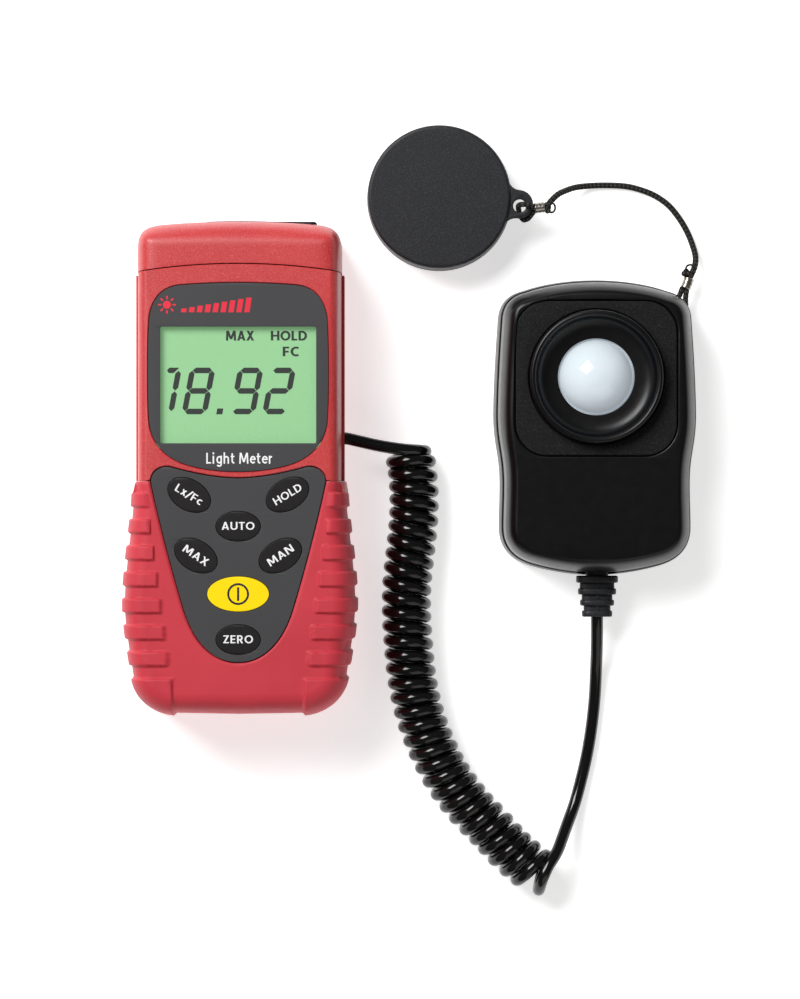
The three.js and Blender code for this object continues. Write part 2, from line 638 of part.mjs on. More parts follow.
function sensorFrontShell() {
  const base = HEAD_PARTING_Z + GAP;
  const outer = shellBody(headOutline, [[base, 0.1], [16, 0.8], [20, 2], [22.4, 3.8], [23, 5.6]]);
  const hollow = shellBody(headOutline, [[6, 2.2], [16, 2.9], [18.8, 4.5]]);
  const pocket = roundedRectangle(
    SENSOR_X - PANEL.x - GAP, SENSOR_X + PANEL.x + GAP, PANEL.y0 - GAP, PANEL.y1 + GAP, PANEL.corner,
  );
  const bosses = HEAD_SCREWS.map(([x, y]) => post(x, y, base, 20, 3.2, 16));
  const bores = HEAD_SCREWS.map(([x, y]) => post(x, y, 5, 17, 1.5, 12));
  return cut(
    join(cut(outer, hollow), ...bosses),
    ...bores,
    prism(pocket, 20.6, 30),
    post(DOME_X, DOME_Y, 10, 30, RING_RADIUS + GAP),
    reliefBore(3, RELIEF.y1 - 2, RELIEF.y1 + 6),
  );
}

function sensorFacePanel() {
  const edge = roundedRectangle(
    SENSOR_X - PANEL.x, SENSOR_X + PANEL.x, PANEL.y0, PANEL.y1, PANEL.corner - GAP,
  );
  return cut(prism(edge, 20.9, 22.5), post(DOME_X, DOME_Y, 10, 30, RING_RADIUS + GAP));
}

// Raised ring with a shallow bowl around the dome and a flange behind the front shell.
function sensorRing() {
  const bore = DOME_RADIUS + GAP;
  return turned([
    [bore, 21.6], [15.7, 26.6], [16.3, 27], [17.4, 27], [RING_RADIUS, 26.3], [RING_RADIUS, 18.5],
    [19.6, 18.5], [19.6, 16.8], [12, 16.8], [12, 18.6], [bore, 18.6], [bore, 21.6],
  ], DOME_X, DOME_Y, 28);
}

// Points of a quarter circle about (0, z) from the side up to the axis.
function domeArc(radius, z, steps = 4) {
  const points = [];
  for (let i = 0; i <= steps; i += 1) {
    const angle = (Math.PI / 2) * (i / steps);
    points.push([i === steps ? 0 : radius * Math.cos(angle), z + radius * Math.sin(angle)]);
  }
  return points;
}

function diffuserDome() {
  const inner = domeArc(DOME_RADIUS - 1.5, 19).reverse();
  const flange = [[DOME_RADIUS - 1.5, 17], [11.6, 17], [11.6, 18.3], [DOME_RADIUS, 18.3]];
  return turned([...inner, ...flange, ...domeArc(DOME_RADIUS, 19)], DOME_X, DOME_Y);
}

function sensorScrew(x, y) {
  return turned([[0, 0.8], [2.4, 0.8], [2.4, 2.8], [1.2, 2.8], [1.2, 16], [0, 16.6]], x, y, 12);
}

// Stepped rubber sleeve: rounded flanges that get smaller away from the head, on a thin core.
function strainRelief() {
  const core = reliefBore(2.6, RELIEF.y0 + 0.6, RELIEF.y1 + 4);
  const flanges = [0, 1, 2, 3].map((i) => {
    const half = 5.6 - 0.47 * i;
    const tall = 3.7 - 0.33 * i;
    const top = RELIEF.y1 - GAP - 2.85 * i;
    const section = roundedRectangle(
      RELIEF.x - half, RELIEF.x + half, RELIEF.z - tall, RELIEF.z + tall, 2.2,
    );
    return prism(section, -top, 2.1 - top).rotateX(Math.PI / 2);
  });
  return cut(join(core, ...flanges), reliefBore(LEAD_RADIUS + GAP, RELIEF.y0 - 2, RELIEF.y1 + 6));
}

addPart('sensor_rear_shell', sensorRearShell(), BLACK_PLASTIC);
addPart('sensor_front_shell', sensorFrontShell(), BLACK_PLASTIC);
addPart('sensor_face_panel', sensorFacePanel(), BLACK_PLASTIC);
addPart('sensor_ring', sensorRing(), BLACK_PLASTIC);
addPart('diffuser_dome', diffuserDome(), OPAL);
addPart('photopic_filter', post(DOME_X, DOME_Y, 15.2, 16.7, 8), BLUE_GLASS);
addPart('photodiode', box(DOME_X - 5, DOME_X + 5, DOME_Y - 5, DOME_Y + 5, 13.1, 14.9), BLACK_PLASTIC);
addPart('sensor_board', box(DOME_X - 15, DOME_X + 15, DOME_Y - 20, DOME_Y + 14, 11.2, 12.8), BOARD_GREEN);
addPart('sensor_strain_relief', strainRelief(), BLACK_PLASTIC);
HEAD_SCREWS.forEach(([x, y], i) => addPart(`sensor_screw_${i + 1}`, sensorScrew(x, y), STEEL));

// ---- Dome cap --------------------------------------------------------------------------

const CAP_TAB = { x: 75.45, y: 71.6, z0: 11.1, z1: 12.3, radius: 3.5, hole: 2 };

function domeCap() {
  const cup = turned([
    [0, 11], [18.1, 11], [18.1, 0], [19.1, 0], [CAP_RADIUS, 0.5], [CAP_RADIUS, 12.2],
    [CAP_RADIUS - 0.8, CAP_HEIGHT], [0, CAP_HEIGHT],
  ], CAP_X, CAP_Y, 32);
  const { x, y, z0, z1, radius, hole } = CAP_TAB;
  const root = prism([
    vec(x - 4.5, y - 4.6), vec(x - 2.2, y - radius), vec(x, y - radius),
    vec(x, y + radius), vec(x - 2.2, y + radius + 0.3), vec(x - 4.5, y + 5),
  ], z0, z1);
  return cut(join(cup, root, post(x, y, z0, z1, radius, 16)), post(x, y, 5, 20, hole, 16));
}

addPart('dome_cap', domeCap(), BLACK_PLASTIC);

// ---- Lanyard: loops, ferrules and braided cord -----------------------------------------

const STRAND_RADIUS = 0.5;
const FERRULE_RADIUS = 1.45;
const CAP_FERRULE = { from: [79.35, 70.3, 11.7], to: [82, 70.65, 11.7] };
const HEAD_FERRULE = { from: [120.1, 49.2, 4.8], to: [121.15, 52.1, 4.8] };

function ferrule({ from, to }) {
  const start = new THREE.Vector3(...from);
  const axis = new THREE.Vector3(...to).sub(start);
  const geometry = new THREE.CylinderGeometry(FERRULE_RADIUS, FERRULE_RADIUS, axis.length(), 12);
  const middle = start.clone().addScaledVector(axis, 0.5);
  const up = new THREE.Vector3(0, 1, 0);
  geometry.applyQuaternion(new THREE.Quaternion().setFromUnitVectors(up, axis.normalize()));
  return geometry.translate(middle.x, middle.y, middle.z);
}

// Over the cap's tab, down through its hole and back under it.
const CAP_LOOP = [
  [79, 70.7, 12.95], [78.4, 70.9, 13.05], [77.3, 71.3, 13.3], [76, 71.6, 13], [75.4, 71.6, 11.7],
  [76, 71.4, 10.4], [77.3, 71, 10.1], [78.4, 70.6, 10.35], [79, 70.4, 10.45],
];

// From the ferrule round the pillar in the head's corner and back.
const HEAD_LOOP = [
  [120.45, 48.8, 4.8], [120.9, 46.6, 4.8], [121.05, 44.2, 4.8], [120.2, 42, 4.8],
  [118.6, 41.45, 4.8], [117.2, 42.4, 4.8], [117.1, 44.4, 4.8], [118.3, 46.8, 4.8], [119.4, 48.9, 4.8],
];

// The braided cord lies on the surface between the two ferrules.
const LANYARD_ROUTE = [
  [82.8, 71.1, 11.6], [84, 72.6, 10.9], [85.7, 74.2, 9.3], [87.7, 75.3, 6.6],
  [90.4, 76.35, 3.6], [93.9, 76.9, 1.6], [98.96, 77.12, 0.9], [104.49, 76.82, 0.85],
  [108.24, 75.93, 0.85], [112, 74.45, 0.85], [115.75, 71.88, 0.85], [118.61, 68.53, 0.85],
  [120.88, 64.77, 0.95], [122.37, 61.12, 1.4], [123.2, 57.8, 2.6], [123.05, 55.4, 3.9],
  [122.55, 53.9, 4.6], [121.95, 52.5, 4.8],
];

addPart('lanyard_loop_cap', tube(CAP_LOOP, STRAND_RADIUS, 8, 14), BRAID_BLACK);
addPart('ferrule_cap_side', ferrule(CAP_FERRULE), STEEL);
addPart('lanyard_cord', tube(LANYARD_ROUTE, LANYARD_RADIUS, 8, 32), BRAID_BLACK);
addPart('ferrule_head_side', ferrule(HEAD_FERRULE), STEEL);
addPart('lanyard_loop_head', tube(HEAD_LOOP, STRAND_RADIUS, 8, 14), BRAID_BLACK);

// ---- Lead: straight start, curly length, tail ------------------------------------------

const LEAD_START_ROUTE = [
  [24, 8.25, 12], [28, 8.25, 12], [31.8, 7.45, 12], [36.4, 6.4, 12.1], [41, 5.6, 12.3],
];

// The axis of the curly length; its tube is the outer size of the curls.
const COIL_AXIS_Z = 6.95;
const COIL_AXIS = [
  [45.25, 4.7], [45.95, 2.02], [46.74, -5.62], [46.64, -13.76], [45.75, -22.49], [44.86, -30.82],
  [44.71, -39.06], [45.25, -47.39], [46.05, -55.68], [47.68, -63.96], [50.31, -72.1],
  [55.17, -82.32], [61.42, -90.95], [67.58, -97.4], [72.98, -103.25], [79.2, -108.55],
].map(([x, y]) => [x, y, COIL_AXIS_Z]);

const LEAD_TAIL_ROUTE = [
  [85.7, -102.95, 9.2], [86.6, -100.75, 7.7], [88.17, -96.72, 5.2], [90.46, -90.71, 2.6],
  [92.29, -84.1, 1.8], [93.77, -77.63, 1.7], [94.95, -70.56, 1.7], [95.84, -62.36, 1.9],
  [96.2, -54.09, 3.2], [96.3, -47.5, 6.1], [RELIEF.x, -41, 8.3], [RELIEF.x, -36, RELIEF.z],
  [RELIEF.x, -27, RELIEF.z],
];

addPart('lead_start', tube(LEAD_START_ROUTE, LEAD_RADIUS, 8, 6), CORD_BLACK);
addPart('lead_coil', tube(COIL_AXIS, COIL_OUTER_RADIUS, 12, 26), CORD_BLACK);
addPart('lead_tail', tube(LEAD_TAIL_ROUTE, LEAD_RADIUS, 8, 18), CORD_BLACK);

export default group;
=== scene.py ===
"""Looks of a hand-held light meter with a remote sensor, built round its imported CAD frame.

Lengths in the sections below are in millimetres and turned into metres when a mesh is made.
"""
import math

import bmesh
import bpy
import numpy as np
from mathutils import Matrix, Vector
from mathutils.geometry import tessellate_polygon


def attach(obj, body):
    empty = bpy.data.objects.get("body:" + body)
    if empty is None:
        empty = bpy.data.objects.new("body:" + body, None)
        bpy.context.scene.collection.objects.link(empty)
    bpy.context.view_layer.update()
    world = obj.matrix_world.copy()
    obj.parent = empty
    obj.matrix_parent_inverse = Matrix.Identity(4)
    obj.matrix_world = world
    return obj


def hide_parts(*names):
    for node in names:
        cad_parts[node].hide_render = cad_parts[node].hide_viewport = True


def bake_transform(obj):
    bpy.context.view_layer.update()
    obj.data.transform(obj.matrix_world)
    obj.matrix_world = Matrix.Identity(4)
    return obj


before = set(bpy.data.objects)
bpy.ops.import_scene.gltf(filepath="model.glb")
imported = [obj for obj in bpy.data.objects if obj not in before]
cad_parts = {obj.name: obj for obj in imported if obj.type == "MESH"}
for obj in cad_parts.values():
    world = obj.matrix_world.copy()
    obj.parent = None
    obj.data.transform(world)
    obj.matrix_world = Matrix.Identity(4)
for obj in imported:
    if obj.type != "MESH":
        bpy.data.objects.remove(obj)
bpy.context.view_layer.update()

MM = 0.001


# ---- Camera and light --------------------------------------------------------------------

CAMERA_HEIGHT = 1500.0
VIEW_HEIGHT = 271.8
CAMERA_X = 42.97
CAMERA_Y = -8.3
SENSOR_SIZE = 36.0

camera_data = bpy.data.cameras.new("camera")
camera_data.sensor_width = SENSOR_SIZE
camera_data.lens = SENSOR_SIZE * CAMERA_HEIGHT / VIEW_HEIGHT
camera_data.clip_end = 20
camera = bpy.data.objects.new("camera", camera_data)
camera.location = (CAMERA_X * MM, CAMERA_Y * MM, CAMERA_HEIGHT * MM)
scene = bpy.context.scene
scene.collection.objects.link(camera)
scene.camera = camera
scene.view_settings.view_transform = "Standard"


def area_light(name, position, target, size, power, colour=(1, 1, 1)):
    """A square soft box aimed at a point; position and target in metres."""
    data = bpy.data.lights.new(name, "AREA")
    data.shape = "SQUARE"
    data.size = size
    data.energy = power
    data.color = colour
    light = bpy.data.objects.new(name, data)
    light.location = position
    aim = Vector(target) - Vector(position)
    light.rotation_euler = aim.to_track_quat("-Z", "Y").to_euler()
    scene.collection.objects.link(light)


area_light("key_light", (-0.52, 0.62, 0.95), (0.04, 0, 0), 0.67, 19.0)
area_light("fill_light", (0.6, -1.05, 0.8), (0.04, 0, 0), 1.3, 4.2, (1, 0.96, 0.92))

world = bpy.data.worlds.new("studio")
world.use_nodes = True
world.node_tree.nodes["Background"].inputs["Color"].default_value = (1, 1, 1, 1)
world.node_tree.nodes["Background"].inputs["Strength"].default_value = 0.12
scene.world = world

# ---- Materials ----------------------------------------------------------------------------


class Nodes:
    """A material's node tree, built with short calls."""

    def __init__(self, name):
        self.material = bpy.data.materials.new(name)
        self.material.use_nodes = True
        self.tree = self.material.node_tree
        self.shader = self.tree.nodes["Principled BSDF"]
        self.place = self.tree.nodes.new("ShaderNodeTexCoord").outputs["Object"]

    def set(self, **values):
        for key, value in values.items():
            self.shader.inputs[key.replace("_", " ")].default_value = value
        return self

    def link(self, output, node_input):
        self.tree.links.new(output, node_input)

    def noise(self, scale, detail=2.0, roughness=0.5, place=None):
        """Noise with the given number of features per millimetre."""
        node = self.tree.nodes.new("ShaderNodeTexNoise")
        node.inputs["Scale"].default_value = scale / MM
        node.inputs["Detail"].default_value = detail
        node.inputs["Roughness"].default_value = roughness
        self.link(place or self.place, node.inputs["Vector"])
        return node.outputs["Fac"]

    def ramp(self, value, low, high, to_low=0.0, to_high=1.0):
        node = self.tree.nodes.new("ShaderNodeMapRange")
        node.clamp = True
        node.inputs["From Min"].default_value = low
        node.inputs["From Max"].default_value = high
        node.inputs["To Min"].default_value = to_low
        node.inputs["To Max"].default_value = to_high
        self.link(value, node.inputs["Value"])
        return node.outputs["Result"]

    def maths(self, operation, first, second):
        node = self.tree.nodes.new("ShaderNodeMath")
        node.operation = operation
        for socket, value in zip(node.inputs, (first, second)):
            if isinstance(value, (int, float)):
                socket.default_value = value
            else:
                self.link(value, socket)
        return node.outputs["Value"]

    def mix(self, factor, first, second):
        """Mixes two colours, or a colour output and a colour, by a factor output."""
        node = self.tree.nodes.new("ShaderNodeMix")
        node.data_type = "RGBA"
        self.link(factor, node.inputs["Factor"])
        for socket, value in ((node.inputs[6], first), (node.inputs[7], second)):
            if isinstance(value, tuple):
                socket.default_value = (*value, 1)
            else:
                self.link(value, socket)
        return node.outputs[2]

    def colour(self, output):
        self.link(output, self.shader.inputs["Base Color"])

    def rough(self, output):
        self.link(output, self.shader.inputs["Roughness"])

    def bump(self, height, depth, strength=1.0):
        """Bump of a given depth in millimetres for heights from 0 to 1."""
        node = self.tree.nodes.new("ShaderNodeBump")
        node.inputs["Strength"].default_value = strength
        node.inputs["Distance"].default_value = depth * MM
        self.link(height, node.inputs["Height"])
        previous = self.shader.inputs["Normal"].links
        if previous:
            self.link(previous[0].from_socket, node.inputs["Normal"])
        self.link(node.outputs["Normal"], self.shader.inputs["Normal"])


def srgb(text):
    """Linear colour of a hexadecimal sRGB colour such as 'C23A3A'."""
    values = [int(text[i:i + 2], 16) / 255 for i in (0, 2, 4)]
    return tuple(v / 12.92 if v <= 0.04045 else ((v + 0.055) / 1.055) ** 2.4 for v in values)


def moulded(name, colour, tint, roughness, grain=2.2, depth=0.012, specular=0.5, dust_and_glint=None):
    """Moulded plastic: fine cast texture, slow colour change, uneven gloss and light specks, which are dust
    on black parts and painted glints on the red case.
    """
    nodes = Nodes(name)
    nodes.set(Specular_IOR_Level=specular)
    slow = nodes.noise(0.05, 3)
    tone = nodes.mix(nodes.ramp(slow, 0.35, 0.65), srgb(colour), srgb(tint))
    if dust_and_glint:
        fine = nodes.noise(grain, 2, 0.6)
        tone = nodes.mix(nodes.ramp(fine, 0.52, 0.78), tone, srgb(dust_and_glint))
    nodes.colour(tone)
    uneven = nodes.noise(0.4, 4)
    nodes.rough(nodes.ramp(uneven, 0.3, 0.7, roughness - 0.02, roughness + 0.03))
    nodes.bump(nodes.noise(grain, 3), depth)
    return nodes.material


# The red case's light specks are painted glints, standing in for the sparkle of its grained surface.
red_case = moulded("red_case", "C33335", "BA2C31", 0.4, 4.2, 0.04, 0.6, "DC706C")
red_rubber = moulded("red_rubber", "C93A46", "C03541", 0.55, 1.4, 0.03, 0.3)
black_plastic = moulded("black_plastic", "111113", "0D0D0F", 0.27, 2.4, 0.008)
black_textured = moulded("black_textured", "141518", "101114", 0.5, 4.5, 0.03, 0.4, "3C3F47")
black_rubber = moulded("black_rubber", "0B0B0B", "080808", 0.13, 1.2, 0.002, 0.45)
panel_grey = moulded("panel_grey", "3F3F41", "3D3D3F", 0.5, 3.0, 0.004, 0.35)
key_black = moulded("key_black", "151213", "171415", 0.45, 3.0, 0.006, 0.3)
key_yellow = moulded("key_yellow", "FFE000", "FFDC00", 0.42, 3.0, 0.006, 0.25)
board_green = moulded("board_green", "1F5B3A", "1A4F33", 0.4, 0.8, 0.01)
battery_skin = moulded("battery_skin", "2E3A55", "28324A", 0.35, 0.5, 0.01)

# ---- Mesh helpers -------------------------------------------------------------------------


def smooth_line(points, step):
    """A centripetal spline through the points, resampled to even steps."""
    points = np.array(points, float)
    ends = np.array([2 * points[0] - points[1], *points, 2 * points[-1] - points[-2]])
    dense = []
    for p0, p1, p2, p3 in zip(ends, ends[1:], ends[2:], ends[3:]):
        t1 = np.linalg.norm(p1 - p0) ** 0.5
        t2 = t1 + np.linalg.norm(p2 - p1) ** 0.5
        t3 = t2 + np.linalg.norm(p3 - p2) ** 0.5
        t = np.linspace(t1, t2, 13)[:-1, None]
        a1 = (t1 - t) / t1 * p0 + t / t1 * p1
        a2 = (t2 - t) / (t2 - t1) * p1 + (t - t1) / (t2 - t1) * p2
        a3 = (t3 - t) / (t3 - t2) * p2 + (t - t2) / (t3 - t2) * p3
        b1 = (t2 - t) / t2 * a1 + t / t2 * a2
        b2 = (t3 - t) / (t3 - t1) * a2 + (t - t1) / (t3 - t1) * a3
        dense.extend((t2 - t) / (t2 - t1) * b1 + (t - t1) / (t2 - t1) * b2)
    dense.append(points[-1])
    return even_steps(np.array(dense), step)


def even_steps(line, step):
    gone = np.concatenate([[0], np.cumsum(np.linalg.norm(np.diff(line, axis=0), axis=1))])
    marks = np.linspace(0, gone[-1], max(2, round(gone[-1] / step) + 1))
    return np.stack([np.interp(marks, gone, line[:, k]) for k in range(3)], axis=1)


def line_length(line):
    return float(np.linalg.norm(np.diff(line, axis=0), axis=1).sum())


def add_mesh(name, points, faces, material, body, smooth=True, uvs=None):
    """A mesh object from points in millimetres, riding on a CAD body if one is given."""
    mesh = bpy.data.meshes.new(name)
    mesh.from_pydata((np.array(points, float) * MM).tolist(), [], faces)
    if uvs is not None:
        layer = mesh.uv_layers.new(name="along")
        layer.data.foreach_set("uv", np.array(uvs, float).ravel())
    mesh.materials.append(material)
    if smooth:
        mesh.shade_smooth()
    mesh.validate()
    piece = bpy.data.objects.new(name, mesh)
    scene.collection.objects.link(piece)
    if body:
        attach(piece, body)
    return piece


def frames_along(line):
    """Tangent, normal and side at each point, turning as little as possible."""
    tangents = np.gradient(line, axis=0)
    tangents /= np.linalg.norm(tangents, axis=1)[:, None]
    normal = np.cross(tangents[0], (0, 0, 1.0))
    if np.linalg.norm(normal) < 0.1:
        normal = np.cross(tangents[0], (1.0, 0, 0))
    normals = []
    for tangent in tangents:
        normal = normal - tangent * (normal @ tangent)
        normal = normal / np.linalg.norm(normal)
        normals.append(normal)
    normals = np.array(normals)
    return tangents, normals, np.cross(tangents, normals)


def tube(name, line, radius, material, body, sides=14, closed=False):
    """A round tube along a line; radius is one number, one per point, or a relief function."""
    tangents, normals, sideways = frames_along(line)
    angles = np.arange(sides) * 2 * math.pi / sides
    gone = np.concatenate([[0], np.cumsum(np.linalg.norm(np.diff(line, axis=0), axis=1))])
    if callable(radius):
        radii = radius(gone[:, None], angles[None, :])
    else:
        radii = np.broadcast_to(np.array(radius, float).reshape(-1, 1), (len(line), sides))
    around = np.cos(angles)[None, :, None] * normals[:, None, :]
    around = around + np.sin(angles)[None, :, None] * sideways[:, None, :]
    points = (line[:, None, :] + radii[:, :, None] * around).reshape(-1, 3)
    faces, uvs = [], []
    count = len(line)
    for i in range(count if closed else count - 1):
        j = (i + 1) % count
        for k in range(sides):
            m = (k + 1) % sides
            faces.append((i * sides + k, i * sides + m, j * sides + m, j * sides + k))
            low, high = gone[i], gone[j] if j else gone[-1]
            uvs += [(low, k), (low, k + 1), (high, k + 1), (high, k)]
    if not closed:
        last = (count - 1) * sides
        faces += [tuple(reversed(range(sides))), tuple(range(last, last + sides))]
        uvs += [(0, 0)] * (2 * sides)
    return add_mesh(name, points, faces, material, body, uvs=uvs)


def bend_along(piece, line, sides, start, end):
    """Bakes the tube's transform and works out blend weights between two bodies by the distance along it,
    from start to end; the weights are not used.
    """
    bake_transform(piece)
    gone = np.concatenate([[0], np.cumsum(np.linalg.norm(np.diff(line, axis=0), axis=1))])
    share = np.clip((gone - start) / (end - start), 0, 1)
    weights = np.repeat(share * share * (3 - 2 * share), sides)
    weights = weights.astype(np.float32)


# ---- The coiled lead ----------------------------------------------------------------------

LEAD_RADIUS = 1.65
LEAD_SIDES = 16
COIL_RADIUS = 5.15
COIL_TURNS = 33.25
COIL_Z = 6.95
TURN_POINTS = 20

LEAD_START = [
    (24, 8.25, 12), (28, 8.25, 12), (31.8, 7.45, 12), (36.4, 6.4, 12.1), (41, 5.6, 12.3),
]
COIL_ENTRY = [(44.9, 5.1, 12.15), (48.4, 4.9, 10.7), (49.95, 4.85, 7), (48.9, 4.6, 3.6)]
COIL_AXIS = [
    (45.25, 4.7), (45.95, 2.02), (46.74, -5.62), (46.64, -13.76), (45.75, -22.49), (44.86, -30.82),
    (44.71, -39.06), (45.25, -47.39), (46.05, -55.68), (47.68, -63.96), (50.31, -72.1),
    (55.17, -82.32), (61.42, -90.95), (67.58, -97.4), (72.98, -103.25), (79.2, -108.55),
]
COIL_EXIT = [
    (81.6, -109.4, 1.8), (80.5, -114, 7), (81.5, -110.4, 12.1), (83, -107.2, 11.8),
    (84.66, -104.75, 10.5),
]
LEAD_TAIL = [
    (85.7, -102.95, 9.2), (86.6, -100.75, 7.7), (88.17, -96.72, 5.2), (90.46, -90.71, 2.6),
    (92.29, -84.1, 1.8), (93.77, -77.63, 1.7), (94.95, -70.56, 1.7), (95.84, -62.36, 1.9),
    (96.2, -54.09, 3.2), (96.3, -47.5, 6.1), (96.27, -41, 8.3), (96.27, -36, 8.5), (96.27, -27, 8.5),
]
# The helix is counted from a little before the axis begins, and starts half a turn in.
COIL_ADVANCE = -1.2


def coil_points():
    """The helix round the coil's axis, from half a turn in to its end."""
    axis = smooth_line([(x, y, COIL_Z) for x, y in COIL_AXIS], 0.2)
    length = line_length(axis)
    tangents = np.gradient(axis, axis=0)
    tangents /= np.linalg.norm(tangents, axis=1)[:, None]
    points = []
    for step in range(TURN_POINTS // 2, int(COIL_TURNS * TURN_POINTS) + 1):
        gone = COIL_ADVANCE + step / (COIL_TURNS * TURN_POINTS) * (length - COIL_ADVANCE)
        place = gone / length * (len(axis) - 1)
        index = min(int(place), len(axis) - 2)
        middle = axis[index] + (place - index) * (axis[index + 1] - axis[index])
        tangent = tangents[index]
        angle = 2 * math.pi * step / TURN_POINTS
        side = np.array([-tangent[1], tangent[0], 0])
        up = np.array([0, 0, 1])
        points.append(middle + COIL_RADIUS * (math.sin(angle) * side + math.cos(angle) * up))
    return points


lead_line = smooth_line(LEAD_START + COIL_ENTRY + coil_points() + COIL_EXIT + LEAD_TAIL, 0.75)
lead_length = line_length(lead_line)
lead = tube("lead", lead_line, LEAD_RADIUS, black_rubber, None, sides=LEAD_SIDES)
bend_along(lead, lead_line, LEAD_SIDES, lead_length * 0.45, lead_length - 20)
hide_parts("lead_start", "lead_coil", "lead_tail")

# ---- The braided lanyard ------------------------------------------------------------------

LANYARD_RADIUS = 0.8
BRAID_STRANDS = 8
BRAID_SIDES = 20
BRAID_PITCH = 2.3
LANYARD_ROUTE = [
    (82.8, 71.1, 11.6), (84, 72.6, 10.9), (85.7, 74.2, 9.3), (87.7, 75.3, 6.6),
    (90.4, 76.35, 3.6), (93.9, 76.9, 1.6), (98.96, 77.12, 0.9), (104.49, 76.82, 0.85),
    (108.24, 75.93, 0.85), (112, 74.45, 0.85), (115.75, 71.88, 0.85), (118.61, 68.53, 0.85),
    (120.88, 64.77, 0.95), (122.37, 61.12, 1.4), (123.2, 57.8, 2.6), (123.05, 55.4, 3.9),
    (122.55, 53.9, 4.6), (121.95, 52.5, 4.8),
]
CAP_LOOP = [
    (79.3, 70.7, 12.3), (78.3, 70.95, 13), (77.2, 71.2, 13.25), (76.2, 71.3, 13.15), (75.3, 71.2, 12.4),
    (74.95, 70.9, 11.4), (75, 70.2, 10.5), (75.4, 68.6, 10.1), (76.4, 67.3, 10.15), (77.5, 67.6, 10.3),
    (78.4, 68.6, 10.7), (79.3, 69.8, 11.2),
]
HEAD_LOOP = [
    (120.85, 49.1, 4.8), (120.55, 47.6, 4.8), (120.4, 45.9, 4.8), (120.4, 44, 4.8), (120, 42.3, 4.8),
    (118.9, 41.6, 4.8), (117.7, 42.3, 4.8), (117.5, 43.9, 4.8), (118, 45.6, 4.8),
    (118.85, 47.2, 4.8), (119.6, 49.2, 4.8),
]


def braided(radius, strands, pitch, depth):
    """Radius of a braid of strands that cross in two directions, plait over plait."""

    def relief(along, angle):
        one = strands / 2 * angle + 2 * math.pi * along / pitch
        other = strands / 2 * angle - 2 * math.pi * along / pitch
        over = 0.5 + 0.5 * np.sin(one) * np.sin(other)
        ridges = np.abs(np.cos(one / 2 + other / 2)) * over
        return radius - depth + depth * ridges + 0.35 * depth * np.cos(2 * one) * over

    return relief


def braid_look():
    """Fibrous yarns, with a painted sheen on the braid's raised crossings and painted shade in the hollows
    between them.
    """
    nodes = Nodes("braid_black")
    nodes.set(Roughness=0.8, Specular_IOR_Level=0.25)
    coordinates = nodes.tree.nodes.new("ShaderNodeTexCoord").outputs["UV"]
    split = nodes.tree.nodes.new("ShaderNodeSeparateXYZ")
    nodes.link(coordinates, split.inputs["Vector"])
    along = nodes.maths("MULTIPLY", split.outputs["X"], 2 * math.pi / BRAID_PITCH)
    turn = nodes.maths("MULTIPLY", split.outputs["Y"], BRAID_STRANDS / 2 * 2 * math.pi / BRAID_SIDES)
    one = nodes.maths("SINE", nodes.maths("ADD", turn, along), 0)
    other = nodes.maths("SINE", nodes.maths("SUBTRACT", turn, along), 0)
    # Painted light: the plait mask darkens the hollows between crossings as painted shade and lightens the
    # crossings as painted sheen.
    plait = nodes.ramp(nodes.maths("MULTIPLY", one, other), -0.2, 0.9)
    fibre = nodes.ramp(nodes.noise(5, 2), 0.3, 0.75)
    crossing_sheen = nodes.mix(fibre, srgb("33312E"), srgb("5A5853"))
    nodes.colour(nodes.mix(plait, srgb("0B0A0A"), crossing_sheen))
    nodes.bump(nodes.noise(7, 2), 0.03)
    return nodes.material


braid_black = braid_look()
lanyard_line = smooth_line(list(reversed(LANYARD_ROUTE)), 0.14)
lanyard_length = line_length(lanyard_line)
braid = braided(LANYARD_RADIUS + 0.1, BRAID_STRANDS, BRAID_PITCH, 0.12)
lanyard = tube("lanyard", lanyard_line, braid, braid_black, None, sides=BRAID_SIDES)
bend_along(lanyard, lanyard_line, BRAID_SIDES, 4, lanyard_length - 4)
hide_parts("lanyard_cord")

STRAND_RADIUS = 0.8
for loop_name, route, node, body in (
    ("cap_loop", CAP_LOOP, "lanyard_loop_cap", "dome_cap"),
    ("head_loop", HEAD_LOOP, "lanyard_loop_head", "sensor_head"),
):
    loop = tube(
        loop_name, smooth_line(route, 0.14), braided(STRAND_RADIUS, BRAID_STRANDS, BRAID_PITCH, 0.1),
        braid_black, body, sides=BRAID_SIDES,
    )
    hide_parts(node)

# ---- Shell helpers ------------------------------------------------------------------------


def outline(start, *steps, count=16):
    """Points along lines (x, y) and cubic curves (x1, y1, x2, y2, x, y) from a start."""
    points = [np.array(start, float)]
    for step in steps:
        first, last = points[-1], np.array(step[-2:], float)
        if len(step) == 2:
            pieces = max(1, round(np.linalg.norm(last - first) / 1.2))
            points += [first + (last - first) * k / pieces for k in range(1, pieces + 1)]
            continue
        one, two = np.array(step[:2], float), np.array(step[2:4], float)
        for k in range(1, count + 1):
            t = k / count
            u = 1 - t
            points.append(u**3 * first + 3 * u * u * t * one + 3 * u * t * t * two + t**3 * last)
    return np.array(points)


def mirrored(left):
    """A closed loop from its left half, which runs from top centre to bottom centre."""
    right = left[-2:0:-1] * (-1, 1)
    return np.concatenate([left, right])


def even_loop(loop, count):
    """A closed loop resampled to a number of even steps from its first point."""
    ring = np.concatenate([loop, loop[:1]])
    gone = np.concatenate([[0], np.cumsum(np.linalg.norm(np.diff(ring, axis=0), axis=1))])
    marks = np.linspace(0, gone[-1], count + 1)[:-1]
    return np.stack([np.interp(marks, gone, ring[:, k]) for k in range(2)], axis=1)


